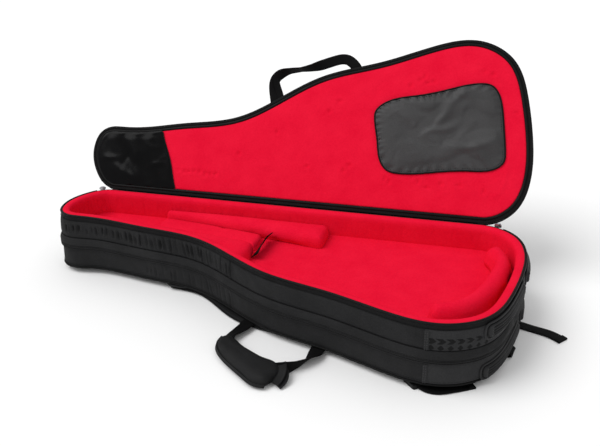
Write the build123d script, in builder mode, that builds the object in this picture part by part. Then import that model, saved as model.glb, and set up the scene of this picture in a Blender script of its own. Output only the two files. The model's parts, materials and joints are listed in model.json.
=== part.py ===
"""Padded two-compartment guitar gig bag, lying on its back with the lid open.

Frame: millimetres, +Z up, +X along the lid hinge from the headstock end to the bout
end, +Y from the zipped side to the hinge side. The origin is on the plane that the
bag rests on, on the lumbar pad's lower face.

The lower section is a zipped tray that lies on its back. The upper section, with the
guitar compartment, hinges on it, and the lid hinges on the upper section.
"""

from build123d import *
import math
import os

os.makedirs("parts", exist_ok=True)

# ---- driving dimensions ----------------------------------------------------------
# Shell outline in plan: a straight hinge side, and one curve for everything else.
HINGE_Y = 208.0
HINGE_START_X = 430.0
HINGE_END_X = -455.0
SIDE_POINTS = [
    (497, 176),  # bout, hinge corner
    (526, 100),
    (523, 15),  # bout end
    (505, -79),
    (466, -167),
    (388, -207),  # widest part of the lower bout
    (290, -191),
    (170, -147),
    (38, -107),
    (-66, -46),  # shoulder
    (-160, 5),
    (-293, 29),  # neck
    (-445, 49),
    (-508, 60),
    (-527, 105),  # headstock end
    (-513, 162),
]
OUTLINE_SAMPLES = 56
SEARCH_STEPS = 600
BEYOND = 1400.0  # larger than the whole bag, for cutting outlines

# Heights of the bag's layers above the floor.
BASE_GAP = 12.0  # under the shell, where the back pads and straps are
BACK_TOP = BASE_GAP + 8.0
ZIP_Z = 76.5  # middle zip, where the two sections part
SECTION_GAP = 0.5
LOWER_TOP = ZIP_Z - SECTION_GAP
UPPER_BOTTOM = ZIP_Z + SECTION_GAP
DIVIDER_TOP = UPPER_BOTTOM + 12.0
FLOOR_TOP = DIVIDER_TOP + 3.0
RIM_Z = 147.0

# Wall layers, measured inward from the outline.
LOWER_INSET = 2.0  # the lower section sits inside the upper one
LOWER_INNER = LOWER_INSET + 14.0
SHELL_INNER = 8.0
LINING_INNER = SHELL_INNER + 12.0
SKIN = 2.0
PIPING = 3.0
PATCH_SKIN = 1.2
TAPE = 1.0
ZIP_END_Y = 192.0  # zips, piping and flap stop here, short of the hinge corners
BOUT_PATCH_X = 362.0  # the bout patches begin here

# Middle weather flap.
FLAP_BOTTOM = 62.0
FLAP_TOP = 90.0
FLAP_SEAM = 4.0
FLAP_END_Y = 168.0
FLAP_INNER = -1.2
FLAP_OUTER = -3.7

# Rubber bumpers on the bout: where each begins and ends in plan.
BUMPER_SPANS = {
    "near": ((464, -169), (522, -4)),
    "far": ((526, 36), (510, 158)),
}
BUMPER_HEIGHT = 26.0
BUMPER_THICKNESS = 8.0
FIT_GAP = 0.4  # between curved faces that lie against each other
UPPER_BUMPER_Z = 120.0
LOWER_BUMPER_Z = 31.0

# Padding in the guitar compartment.
CRADLE_START_X = -300.0
CRADLE_NEAR_END_X = -45.0
CRADLE_FAR_END_X = 95.0
CRADLE_BASE_TOP = 110.0
CRADLE_TOP = 122.0
CHANNEL_HALF = 32.0
CUSHION_TOP = 124.0
CUSHION_WIDTH = 38.0
CUSHION_LINE = [
    (359, -128),
    (384, -124),
    (420, -101),
    (456, -40),
    (479, 42),
    (478, 100),
    (458, 140),
]
HOOK_SPANS = [((462, -170), (492, -125)), ((523, 15), (527, 60))]
HOOK_BOTTOM = 97.0
HOOK_TOP = 125.0
NECK_STRAP_LINE = [(-29, 34), (-27, 64), (-25, 96), (-23, 126)]
NECK_STRAP_WIDTH = 28.0

# Lid, as heights over its own plane. The plane lies on the rim when the lid is shut.
LID_ANGLE = 122.9  # opening from shut
LID_INSET = 1.5
LID_CLEAR = 1.0
LID_LINING_TOP = LID_CLEAR + 4.0
LID_TOP = LID_LINING_TOP + 18.0
LID_ZIP_HEIGHT = 8.0
BINDING_WIDTH = 15.0
GUARD_CLEAR = 0.4
GUARD_EDGE = [(-290, 199), (-301, 172), (-312, 136), (-333, 88), (-346, 54), (-350, 20)]
BRIDGE_GUARD_THICKNESS = 3.5
BRIDGE_GUARD_OUTLINE = [
    (171, -28),
    (187, -47),
    (264, -71),
    (337, -91),
    (398, -106),
    (426, -102),
    (441, -85),
    (450, -60),
    (459, -10),
    (467, 45),
    (465, 70),
    (450, 84),
    (392, 94),
    (313, 104),
    (240, 112),
    (211, 106),
    (195, 88),
    (182, 39),
    (171, -8),
]
POCKET_START_X = 60.0
POCKET_INSET = 40.0
POCKET_THICKNESS = 2.5
POCKET_ZIP_Y = 168.0
POCKET_ZIP_X = (90.0, 400.0)
POCKET_ZIP_WIDTH = 20.0
POCKET_ZIP_THICKNESS = 1.5

# Back of the bag: pads, shoulder straps and their webbing.
NECK_END_PAD = ((-385, 122), (190, 92), -6)  # centre, size, turn
LUMBAR_PAD = ((80, 52), (220, 112), 0)
BOUT_PAD = ((330, -10), (150, 100), 0)
PAD_CORNER = 24.0
STRAP_THICKNESS = 9.5
STRAP_WIDTH = 62.0
STRAP_LINES = {
    "near": [(-230, 52), (-150, 37), (-110, 14), (-70, -18), (-32, -44), (40, -67), (140, -86), (238, -97)],
    "far": [(-230, 128), (-150, 150), (-50, 165), (60, 166), (160, 153), (238, 130)],
}
WEB_WIDTH = 26.0
WEB_THICKNESS = 2.0
WEB_Z = 3.5
TAIL_Z = 0.3
WEB_LINES = {
    "near": [(244, -100), (290, -128), (331, -167)],
    "far": [(241, 129), (330, 112), (414, 93)],
}
TAIL_LINES = {
    "near": [(367, -202), (402, -198), (448, -172)],
    "far": [(455, 82), (518, 55), (569, 36), (612, 11)],
}
LOCKS = {"near": ((349, -186), -45), "far": ((434, 88), -14)}  # centre, turn
LOCK_SIZE = (34.0, 38.0, 8.0)
LOCK_SLOT = (8.0, 28.0)
LOCK_Z = 1.0
ANCHORS = [((392, -172), (44, 30), 20), ((478, 80), (44, 40), 0)]  # centre, size, turn

# Handles.
HANDLE_CLEAR = -5.0  # webbing starts this far outside the outline
CARRY_LINE = [
    (-10, -78),
    (-22, -112),
    (-33, -146),
    (-20, -183),
    (29, -208),
    (80, -238),
    (108, -226),
    (134, -186),
    (154, -136),
]
CARRY_WEB = 30.0
CARRY_FEET = [(-4, -62, -10), (146, -112, -18)]  # x, y, turn
GRIP = ((29, -207), (146, 58), -33)  # centre, size, turn
GRIP_BOTTOM = 0.6
GRIP_TOP = 24.6
LID_HANDLE_LINE = [
    (-74, -20),
    (-82, -62),
    (-80, -98),
    (-48, -118),
    (20, -133),
    (68, -149),
    (102, -146),
    (116, -118),
]
LID_HANDLE_WEB = 25.0
LID_HANDLE_FEET = [(-72, -14, -10), (104, -112, -28)]  # x, y, turn

# Zip sliders: centres, and the slider and its hanging pull.
POCKET_SLIDER_SIZE = (14, 9, 4)
POCKET_SLIDER_CORNER = 2
POCKET_PULL_SIZE = (7, 30, 1.6)
POCKET_PULL_SHIFT = 12  # the pull lies across the zip, from the slider's middle outward
SLIDERS = {
    "rim_slider_bout": (467, 207.5, 146),
    "rim_slider_head": (-484, 207.0, 146),
    "mid_slider": (470, 206.5, 72.5),
}
SLIDER_SIZE = (10, 5, 6)
PULL_SIZE = (7, 1.6, 30)
PULL_OUT = 3.6
PULL_DOWN = 14.0
POCKET_SLIDER_X = POCKET_ZIP_X[0] + 14.0


# ---- shared shapes ---------------------------------------------------------------
def side_curve():
    """The curved side of the shell, tangent to the straight hinge side."""
    points = [(HINGE_START_X, HINGE_Y)] + SIDE_POINTS + [(HINGE_END_X, HINGE_Y)]
    return Spline(
        *points, tangents=[(1, 0), (1, 0)], tangent_scalars=[1, 1], mode=Mode.PRIVATE
    )


def side_at(fraction, inset=0.0):
    """Point on the side curve, moved inward by inset."""
    point = SIDE @ fraction
    tangent = SIDE % fraction
    return (point.X + tangent.Y * inset, point.Y - tangent.X * inset)


def nearest_fraction(target):
    """Fraction along the side curve that lies nearest to a plan point."""
    fractions = [i / SEARCH_STEPS for i in range(SEARCH_STEPS + 1)]
    return min(fractions, key=lambda fraction: math.dist(side_at(fraction), target))


def lid_plane():
    """Plane of the open lid's mouth, drawn on in the shut bag's plan coordinates."""
    opening = math.radians(LID_ANGLE)
    forward = HINGE_Y * (1 - math.cos(opening))
    rise = HINGE_Y * math.sin(opening)
    return Plane(
        origin=(0, forward, RIM_Z + rise),
        x_dir=(1, 0, 0),
        z_dir=(0, math.sin(opening), math.cos(opening)),
    )


SIDE = side_curve()
FLOOR = Plane.XY
LID = lid_plane()


def bag_face(inset, mode=Mode.ADD):
    """Plan face of the shell, moved inward by inset; used inside a BuildSketch."""
    points = [side_at(i / OUTLINE_SAMPLES, inset) for i in range(OUTLINE_SAMPLES + 1)]
    with BuildLine() as edge:
        side = Spline(*points, tangents=[(1, 0), (1, 0)], tangent_scalars=[1, 1])
        Line(side @ 1, side @ 0)
    make_face(edge.edges(), mode=mode)


def keep_below(y):
    """Cut the sketch in hand to the side below y."""
    with Locations((0, y - BEYOND / 2)):
        Rectangle(BEYOND, BEYOND, mode=Mode.INTERSECT)


def keep_beyond(x):
    """Cut the sketch in hand to the side beyond x."""
    with Locations((x + BEYOND / 2, 0)):
        Rectangle(BEYOND, BEYOND, mode=Mode.INTERSECT)


def slab(plane, inset, low, high):
    """Solid with the shell's plan outline between two heights over plane."""
    with BuildPart() as piece:
        with BuildSketch(plane.offset(low)):
            bag_face(inset)
        extrude(amount=high - low)
    return piece


def ring(plane, outer, inner, low, high, end_y=None, start_x=None):
    """Band that follows the shell's side between two insets and two heights."""
    with BuildPart() as piece:
        with BuildSketch(plane.offset(low)):
            bag_face(outer)
            bag_face(inner, mode=Mode.SUBTRACT)
            if end_y is not None:
                keep_below(end_y)
            if start_x is not None:
                keep_beyond(start_x)
        extrude(amount=high - low)
    return piece


def strap_sides(points, width):
    """Left and right edge points of a band of one width along a smooth centre line."""
    centre = Spline(*points, mode=Mode.PRIVATE)
    steps = 4 * len(points)
    left = []
    right = []
    for i in range(steps + 1):
        point = centre @ (i / steps)
        across = (centre % (i / steps)).rotate(Axis.Z, 90) * (width / 2)
        left.append(point + across)
        right.insert(0, point - across)
    return left, right


def band(plane, left, right, low, high, clear_of=None):
    """Solid between two edge curves; clear_of trims it back from the shell's outline."""
    with BuildPart() as piece:
        with BuildSketch(plane.offset(low)):
            with BuildLine():
                Spline(*left)
                Line(left[-1], right[0])
                Spline(*right)
                Line(right[-1], left[0])
            make_face()
            if clear_of is not None:
                bag_face(clear_of, mode=Mode.SUBTRACT)
        extrude(amount=high - low)
    return piece


def strap(plane, points, width, low, high, clear_of=None):
    """Flat strap between two heights over plane."""
    left, right = strap_sides(points, width)
    return band(plane, left, right, low, high, clear_of)


def wall_piece(start, end, outer, inner, low, high):
    """Piece that follows the shell's side from near one plan point to another."""
    first = nearest_fraction(start)
    last = nearest_fraction(end)
    steps = 12
    fractions = [first + (last - first) * i / steps for i in range(steps + 1)]
    left = [side_at(fraction, outer) for fraction in fractions]
    right = [side_at(fraction, inner) for fraction in reversed(fractions)]
    return band(FLOOR, left, right, low, high)


def pad(centre, size, turn, low, high, corner, plane=Plane.XY):
    """Rounded rectangle between two heights over plane."""
    with BuildPart() as piece:
        with BuildSketch(plane.offset(low)):
            with Locations(Location((*centre, 0), (0, 0, turn))):
                RectangleRounded(*size, corner)
        extrude(amount=high - low)
    return piece


def block(centre, size):
    """Plain box about a centre."""
    with BuildPart() as piece:
        with Locations(centre):
            Box(*size)
    return piece


def group(pieces):
    """One part holding several separate solids."""
    with BuildPart() as joined:
        for piece in pieces:
            add(piece.part)
    return joined


def save(name, piece):
    """Label a finished piece and write its STEP file."""
    piece.part.label = name
    export_step(piece.part, f"parts/{name}.step")


# ---- lower section: the tray that lies on its back ---------------------------------
def build_lower_shell():
    save("back_panel", slab(FLOOR, LOWER_INSET, BASE_GAP, BACK_TOP))
    save("lower_side_wall", ring(FLOOR, LOWER_INSET, LOWER_INNER, BACK_TOP, LOWER_TOP))
    with BuildPart() as lining:
        with BuildSketch(FLOOR.offset(BACK_TOP)):
            bag_face(LOWER_INNER)
        extrude(amount=SKIN)
        with BuildSketch(FLOOR.offset(BACK_TOP + SKIN)):
            bag_face(LOWER_INNER)
            bag_face(LOWER_INNER + SKIN, mode=Mode.SUBTRACT)
        extrude(amount=LOWER_TOP - BACK_TOP - SKIN - 1)
    save("lower_lining", lining)


def build_lower_trim():
    piping_top = BASE_GAP + 5
    outer = LOWER_INSET - PIPING
    save("bottom_piping", ring(FLOOR, outer, LOWER_INSET, BASE_GAP, piping_top))
    skin = LOWER_INSET - PATCH_SKIN
    patch_low = piping_top + 0.5
    patch_high = FLAP_BOTTOM - 0.5
    patch = ring(FLOOR, skin, LOWER_INSET, patch_low, patch_high, ZIP_END_Y, BOUT_PATCH_X)
    save("lower_bout_patch", patch)
    tape = ring(FLOOR, skin, LOWER_INSET, FLAP_BOTTOM + 2, LOWER_TOP, ZIP_END_Y)
    save("mid_zip_lower_tape", tape)


def build_bumpers():
    """Ribbed rubber bars on the bout, two on each section."""
    levels = {
        "upper": (UPPER_BUMPER_Z, -PATCH_SKIN - FIT_GAP),
        "lower": (LOWER_BUMPER_Z, LOWER_INSET - PATCH_SKIN - FIT_GAP),
    }
    for level, (middle, face) in levels.items():
        low = middle - BUMPER_HEIGHT / 2
        high = middle + BUMPER_HEIGHT / 2
        for side, (start, end) in BUMPER_SPANS.items():
            bar = wall_piece(start, end, face - BUMPER_THICKNESS, face, low, high)
            save(f"{level}_bumper_{side}", bar)


def ladder_lock(centre, turn):
    """Webbing adjuster: a frame with a slot on each side of its middle bar."""
    with BuildPart() as lock:
        with BuildSketch(FLOOR.offset(LOCK_Z)):
            with Locations(Location((*centre, 0), (0, 0, turn))):
                RectangleRounded(LOCK_SIZE[0], LOCK_SIZE[1], 4)
                with Locations((-LOCK_SLOT[0], 0), (LOCK_SLOT[0], 0)):
                    Rectangle(*LOCK_SLOT, mode=Mode.SUBTRACT)
        extrude(amount=LOCK_SIZE[2])
    return lock


def build_back():
    """Back pads that the bag rests on, and the shoulder straps beside them."""
    pads = {"neck_end_pad": NECK_END_PAD, "lumbar_pad": LUMBAR_PAD, "bout_pad": BOUT_PAD}
    for name, (centre, size, turn) in pads.items():
        save(name, pad(centre, size, turn, 0, BASE_GAP, PAD_CORNER))
    for side in STRAP_LINES:
        padded = strap(FLOOR, STRAP_LINES[side], STRAP_WIDTH, 0, STRAP_THICKNESS)
        save(f"shoulder_strap_{side}", padded)
        web = strap(FLOOR, WEB_LINES[side], WEB_WIDTH, WEB_Z, WEB_Z + WEB_THICKNESS)
        tail = strap(FLOOR, TAIL_LINES[side], WEB_WIDTH, TAIL_Z, TAIL_Z + WEB_THICKNESS)
        save(f"strap_webbing_{side}", group([web, tail]))
        save(f"ladder_lock_{side}", ladder_lock(*LOCKS[side]))
    save("strap_yoke", pad((-212, 84), (60, 140), 0, STRAP_THICKNESS, BASE_GAP, 14))
    anchors = [pad(*anchor, STRAP_THICKNESS, BASE_GAP, 6) for anchor in ANCHORS]
    save("strap_anchors", group(anchors))
    save("end_tab", pad((509, -55), (18, 34), -10, SKIN, STRAP_THICKNESS, 3))


def build_hinge_tapes():
    """Cloth tapes that the two sections and the lid hinge on."""
    middle = (HINGE_START_X + HINGE_END_X) / 2
    length = HINGE_START_X - HINGE_END_X - 10
    section_face = HINGE_Y - LOWER_INSET
    section = block((middle, section_face + 0.6, LOWER_TOP - 8), (length, 1.2, 14))
    save("section_hinge_tape", section)
    lid = block((middle, HINGE_Y + TAPE / 2, RIM_Z - 9), (length, TAPE, 16))
    save("lid_hinge_tape", lid)


# ---- upper section: the guitar compartment -----------------------------------------
def build_upper_shell():
    save("upper_side_wall", ring(FLOOR, 0, SHELL_INNER, UPPER_BOTTOM, RIM_Z))
    save("divider_panel", slab(FLOOR, SHELL_INNER, UPPER_BOTTOM, DIVIDER_TOP))
    lining = ring(FLOOR, SHELL_INNER, LINING_INNER, DIVIDER_TOP, RIM_Z - 1)
    save("upper_wall_lining", lining)
    save("compartment_floor", slab(FLOOR, LINING_INNER, DIVIDER_TOP, FLOOR_TOP))


def build_upper_trim():
    piping_low = RIM_Z - 4
    tape_high = piping_low - 0.5
    tape_low = tape_high - 8.5
    save("rim_piping", ring(FLOOR, -PIPING, 0, piping_low, RIM_Z, ZIP_END_Y))
    save("rim_zip_tape", ring(FLOOR, -TAPE, 0, tape_low, tape_high, ZIP_END_Y))
    patch_low = FLAP_TOP + 0.5
    patch_high = tape_low - 0.5
    patch = ring(FLOOR, -PATCH_SKIN, 0, patch_low, patch_high, ZIP_END_Y, BOUT_PATCH_X)
    save("upper_bout_patch", patch)
    tape = ring(FLOOR, -0.9, 0, UPPER_BOTTOM, FLAP_TOP - FLAP_SEAM - 0.5, ZIP_END_Y)
    save("mid_zip_upper_tape", tape)


def build_mid_flap():
    """Weather flap sewn to the upper wall, hanging over the middle zip."""
    with BuildPart() as flap:
        with BuildSketch(FLOOR.offset(FLAP_BOTTOM)):
            bag_face(FLAP_OUTER)
            bag_face(FLAP_INNER, mode=Mode.SUBTRACT)
            keep_below(FLAP_END_Y)
        extrude(amount=FLAP_TOP - FLAP_BOTTOM)
        with BuildSketch(FLOOR.offset(FLAP_TOP - FLAP_SEAM)):
            bag_face(FLAP_INNER)
            bag_face(0, mode=Mode.SUBTRACT)
            keep_below(FLAP_END_Y)
        extrude(amount=FLAP_SEAM)
    save("mid_flap", flap)


def neck_line(x):
    """Plan height of the guitar's centre line, which runs askew to the hinge."""
    return 94.7 - 0.1383 * x


def cradle_piece(end_x, near_offset, far_offset, top):
    """Foam block between two lines along the guitar's neck, cut to the inside wall."""
    corners = [
        (CRADLE_START_X, neck_line(CRADLE_START_X) + near_offset),
        (end_x, neck_line(end_x) + near_offset),
        (end_x, neck_line(end_x) + far_offset),
        (CRADLE_START_X, neck_line(CRADLE_START_X) + far_offset),
    ]
    with BuildPart() as piece:
        with BuildSketch(FLOOR.offset(FLOOR_TOP)):
            bag_face(LINING_INNER + 0.5)
            with BuildLine():
                Polyline(*corners, close=True)
            make_face(mode=Mode.INTERSECT)
        extrude(amount=top - FLOOR_TOP)
    return piece


def build_padding():
    """Neck cradle with its channel, neck strap and the crescent bout cushion."""
    near = cradle_piece(CRADLE_NEAR_END_X, -BEYOND, -CHANNEL_HALF, CRADLE_TOP)
    save("neck_cradle_near", near)
    far = cradle_piece(CRADLE_FAR_END_X, CHANNEL_HALF, BEYOND, CRADLE_TOP)
    save("neck_cradle_far", far)
    channel = CHANNEL_HALF - 0.4
    base = cradle_piece(CRADLE_NEAR_END_X, -channel, channel, CRADLE_BASE_TOP)
    save("neck_cradle_base", base)
    strap_top = FLOOR_TOP + WEB_THICKNESS
    neck_strap = strap(FLOOR, NECK_STRAP_LINE, NECK_STRAP_WIDTH, FLOOR_TOP, strap_top)
    save("neck_strap", neck_strap)
    cushion = strap(FLOOR, CUSHION_LINE, CUSHION_WIDTH, FLOOR_TOP, CUSHION_TOP)
    save("bout_cushion", cushion)
    tabs = []
    for first, last in HOOK_SPANS:
        outer = LINING_INNER + FIT_GAP
        tabs.append(wall_piece(first, last, outer, outer + SKIN, HOOK_BOTTOM, HOOK_TOP))
    save("cushion_hook_tabs", group(tabs))


# ---- lid ----------------------------------------------------------------------------
def build_lid_shell():
    save("lid_shell", slab(LID, LID_INSET, LID_LINING_TOP, LID_TOP))
    save("lid_lining", slab(LID, BINDING_WIDTH, LID_CLEAR, LID_LINING_TOP))
    save("lid_binding", ring(LID, LID_INSET, BINDING_WIDTH, LID_CLEAR, LID_LINING_TOP))
    outer = LID_INSET - TAPE
    tape_top = LID_LINING_TOP + LID_ZIP_HEIGHT
    save("lid_zip_tape", ring(LID, outer, LID_INSET, LID_LINING_TOP, tape_top, ZIP_END_Y))


def build_headstock_guard():
    """Glossy sheet over the headstock end of the lid lining."""
    last_x, last_y = GUARD_EDGE[-1]
    with BuildPart() as guard:
        with BuildSketch(LID.offset(GUARD_CLEAR)):
            bag_face(BINDING_WIDTH)
            with BuildLine():
                Spline(*GUARD_EDGE)
                Line((last_x, last_y), (-BEYOND, last_y))
                Line((-BEYOND, last_y), (-BEYOND, GUARD_EDGE[0][1]))
                Line((-BEYOND, GUARD_EDGE[0][1]), GUARD_EDGE[0])
            make_face(mode=Mode.INTERSECT)
        extrude(amount=LID_CLEAR - GUARD_CLEAR)
    save("headstock_guard", guard)


def build_bridge_guard():
    """Flat padded pocket on the lid lining, over the guitar's bridge."""
    with BuildPart() as guard:
        with BuildSketch(LID.offset(LID_CLEAR - BRIDGE_GUARD_THICKNESS)):
            with BuildLine():
                Spline(*BRIDGE_GUARD_OUTLINE, periodic=True)
            make_face()
        extrude(amount=BRIDGE_GUARD_THICKNESS)
    save("bridge_guard", guard)


def build_front_pocket():
    """Flat empty pocket with a straight zip on the lid's outer face."""
    with BuildPart() as pocket:
        with BuildSketch(LID.offset(LID_TOP)):
            bag_face(POCKET_INSET)
            keep_beyond(POCKET_START_X)
            keep_below(POCKET_ZIP_Y - POCKET_ZIP_WIDTH / 2)
        extrude(amount=POCKET_THICKNESS)
    save("front_pocket", pocket)
    centre = (sum(POCKET_ZIP_X) / 2, POCKET_ZIP_Y)
    size = (POCKET_ZIP_X[1] - POCKET_ZIP_X[0], POCKET_ZIP_WIDTH)
    tape_top = LID_TOP + POCKET_ZIP_THICKNESS
    save("front_pocket_zip", pad(centre, size, 0, LID_TOP, tape_top, 3, plane=LID))


# ---- handles --------------------------------------------------------------------------
def foot_patches(plane, feet, size, low, high, inset):
    """Webbing patches that a handle is sewn on with, cut to the outline."""
    with BuildPart() as patches:
        with BuildSketch(plane.offset(low)):
            for x, y, turn in feet:
                with Locations(Location((x, y, 0), (0, 0, turn))):
                    RectangleRounded(*size, 3)
            bag_face(inset, mode=Mode.INTERSECT)
        extrude(amount=high - low)
    return patches


def build_carry_handle():
    """Webbing loop with a wrapped grip, sewn into the bottom seam."""
    web_low = BASE_GAP - WEB_THICKNESS
    webbing = strap(FLOOR, CARRY_LINE, CARRY_WEB, web_low, BASE_GAP, HANDLE_CLEAR)
    save("carry_handle_webbing", webbing)
    centre, size, turn = GRIP
    with BuildPart() as grip:
        with BuildSketch(FLOOR.offset(GRIP_BOTTOM)):
            with Locations(Location((*centre, 0), (0, 0, turn))):
                RectangleRounded(*size, 20)
        extrude(amount=GRIP_TOP - GRIP_BOTTOM)
        fillet(grip.faces().sort_by(Axis.Z)[-1].edges(), 8)
        fillet(grip.faces().sort_by(Axis.Z)[0].edges(), 8)
    save("carry_handle_grip", grip)
    low = BASE_GAP - 1.5
    patches = foot_patches(FLOOR, CARRY_FEET, (40, 40), low, BASE_GAP, LOWER_INSET)
    save("carry_handle_anchors", patches)


def build_lid_handle():
    """Webbing loop that stands on the lid's zipped edge."""
    middle = (LID_CLEAR + LID_TOP) / 2
    low = middle - WEB_THICKNESS / 2
    high = middle + WEB_THICKNESS / 2
    webbing = strap(LID, LID_HANDLE_LINE, LID_HANDLE_WEB, low, high, HANDLE_CLEAR)
    save("lid_handle_webbing", webbing)
    top = LID_TOP + WEB_THICKNESS
    inset = LID_INSET + SKIN
    patches = foot_patches(LID, LID_HANDLE_FEET, (30, 36), LID_TOP, top, inset)
    save("lid_handle_anchors", patches)


# ---- zip sliders ----------------------------------------------------------------------
def build_sliders():
    for name, (x, y, z) in SLIDERS.items():
        save(name, block((x, y, z), SLIDER_SIZE))
        save(f"{name}_pull", block((x, y + PULL_OUT, z - PULL_DOWN), PULL_SIZE))
    low = LID_TOP + POCKET_ZIP_THICKNESS + FIT_GAP
    length, width, height = POCKET_SLIDER_SIZE
    centre = (POCKET_SLIDER_X, POCKET_ZIP_Y)
    slider = pad(centre, (length, width), 0, low, low + height, POCKET_SLIDER_CORNER, plane=LID)
    save("pocket_slider", slider)
    pull_low = low + height + FIT_GAP
    width, length, height = POCKET_PULL_SIZE
    centre = (POCKET_SLIDER_X, POCKET_ZIP_Y + POCKET_PULL_SHIFT)
    pull = pad(centre, (width, length), 0, pull_low, pull_low + height, POCKET_SLIDER_CORNER, plane=LID)
    save("pocket_slider_pull", pull)


build_lower_shell()
build_lower_trim()
build_bumpers()
build_back()
build_hinge_tapes()
build_upper_shell()
build_upper_trim()
build_mid_flap()
build_padding()
build_lid_shell()
build_headstock_guard()
build_bridge_guard()
build_front_pocket()
build_carry_handle()
build_lid_handle()
build_sliders()
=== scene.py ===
"""Looks of the padded gig bag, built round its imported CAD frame.

Lengths are in millimetres until a piece is made, and the frame is the CAD's: the
bag lies on its back, +X runs along the hinge to the bout end, +Y to the hinge side.
Three sets of coordinates are used. Plan pieces are drawn in x, y and height. Lid pieces
are drawn as if the lid were shut, with heights over the rim, and on_lid() opens them.
Wall pieces are drawn in arc length round the bag, height, and distance off the wall.
"""

import bmesh
import bpy
import json
import math
import numpy as np
from mathutils import Matrix, Vector
from mathutils.geometry import delaunay_2d_cdt


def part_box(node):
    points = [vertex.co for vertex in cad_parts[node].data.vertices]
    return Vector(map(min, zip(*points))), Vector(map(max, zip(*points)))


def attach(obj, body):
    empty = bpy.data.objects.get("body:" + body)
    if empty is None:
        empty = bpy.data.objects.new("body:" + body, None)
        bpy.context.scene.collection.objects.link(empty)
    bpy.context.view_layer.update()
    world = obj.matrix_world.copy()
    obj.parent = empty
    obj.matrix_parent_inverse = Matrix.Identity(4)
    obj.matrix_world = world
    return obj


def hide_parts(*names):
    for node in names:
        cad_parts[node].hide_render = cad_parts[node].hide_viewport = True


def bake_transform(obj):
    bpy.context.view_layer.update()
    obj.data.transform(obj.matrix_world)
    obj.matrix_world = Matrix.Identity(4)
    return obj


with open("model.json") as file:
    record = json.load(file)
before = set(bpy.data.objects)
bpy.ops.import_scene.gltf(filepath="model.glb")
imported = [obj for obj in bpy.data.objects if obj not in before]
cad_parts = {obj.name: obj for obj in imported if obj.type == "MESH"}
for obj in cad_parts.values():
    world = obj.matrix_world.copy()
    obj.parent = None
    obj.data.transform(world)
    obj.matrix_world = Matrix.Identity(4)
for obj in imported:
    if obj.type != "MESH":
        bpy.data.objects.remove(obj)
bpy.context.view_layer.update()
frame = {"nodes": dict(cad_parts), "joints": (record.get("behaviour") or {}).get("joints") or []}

MM = 0.001
STEP = 3.0  # spacing of stations round the bag


# ---- measures taken from the frame -----------------------------------------------------
def heights(node):
    """Lowest and highest z of a node."""
    low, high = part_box(node)
    return low.z / MM, high.z / MM


def vertices(node):
    return np.array([v.co for v in frame["nodes"][node].data.vertices]) / MM


JOINTS = {joint["name"]: joint for joint in frame["joints"]}
_, HINGE_Y, RIM = [value / MM for value in JOINTS["lid_hinge"]["pos_m"]]
OPENING = math.radians(-JOINTS["lid_hinge"]["range_deg"][0])
LID_UP = np.array([0, -math.cos(OPENING), math.sin(OPENING)])
LID_OUT = np.array([0, math.sin(OPENING), math.cos(OPENING)])
BASE = heights("back_panel")[0]
LOWER_TOP = heights("lower_side_wall")[1]
UPPER_BOTTOM = heights("upper_side_wall")[0]
FLOOR = heights("compartment_floor")[1]
FLAP_LOW, FLAP_HIGH = heights("mid_flap")
TAPE_LOW, TAPE_HIGH = heights("rim_zip_tape")
HINGE_START, HINGE_END = 430.0, -455.0
BAND_END = 192  # y where zips, piping and seams stop, short of the hinge side
FLAP_END = 168
WHOLE_BAG = (-480, 480, -180, 190)  # plan area that quilting is scattered over
LINING_FACE = -20.6  # inner face of the padded wall, off the wall
LID_EDGE = 14.0  # how far inside the lid's edge its lining starts


def on_lid(points):
    """Plan points with heights over the rim, carried to the open lid."""
    x, y, t = np.moveaxis(np.asarray(points, float), -1, 0)
    origin = np.array([0, HINGE_Y, RIM])
    across = np.stack([x, 0 * x, 0 * x], -1)
    return origin + across + (HINGE_Y - y)[..., None] * LID_UP + t[..., None] * LID_OUT


def lid_heights(node):
    """Lowest and highest distance of a lid node over the lid's own plane."""
    t = (vertices(node) - np.array([0, HINGE_Y, RIM])) @ LID_OUT
    return t.min(), t.max()


# ---- curves and fills ------------------------------------------------------------------
def spline(points, step=STEP, closed=False):
    """Points evenly spaced along a smooth curve through the given ones."""
    p = np.array(points, float)
    if closed:
        p = np.vstack([p, p[:1]])
    t = np.r_[0, np.cumsum(np.linalg.norm(np.diff(p, axis=0), axis=1))]
    h = np.diff(t)
    n = len(p)
    left = np.zeros((n, n))
    right = np.zeros_like(p)
    for i in range(1, n - 1):
        left[i, i - 1 : i + 2] = h[i - 1], 2 * (h[i - 1] + h[i]), h[i]
        right[i] = 6 * ((p[i + 1] - p[i]) / h[i] - (p[i] - p[i - 1]) / h[i - 1])
    left[0, 0] = left[-1, -1] = 1
    if closed:
        left[0, -1] = -1
        left[-1, [0, 1, -2]] = 2 * h[0], h[0], h[-1]
        left[-1, -1] = 2 * h[-1]
        right[-1] = 6 * ((p[1] - p[0]) / h[0] - (p[-1] - p[-2]) / h[-1])
    bend = np.linalg.solve(left, right)
    u = np.linspace(0, t[-1], max(40 * n, int(t[-1] * 2)))
    i = np.clip(np.searchsorted(t, u) - 1, 0, n - 2)
    a = ((t[i + 1] - u) / h[i])[:, None]
    b = 1 - a
    curve = a * p[i] + b * p[i + 1]
    curve += ((a**3 - a) * bend[i] + (b**3 - b) * bend[i + 1]) * (h[i] ** 2)[:, None] / 6
    return even(curve, step, closed)


def even(curve, step, closed=False):
    """The same line with evenly spaced points; a closed one doesn't repeat its first."""
    s = np.r_[0, np.cumsum(np.linalg.norm(np.diff(curve, axis=0), axis=1))]
    count = max(2, round(s[-1] / step) + 1)
    at = np.linspace(0, s[-1], count)
    result = np.stack([np.interp(at, s, column) for column in curve.T], -1)
    return result[:-1] if closed else result


def reclosed(loop, step):
    """A closed loop with evenly spaced points."""
    return even(np.vstack([loop, loop[:1]]), step, closed=True)


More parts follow.
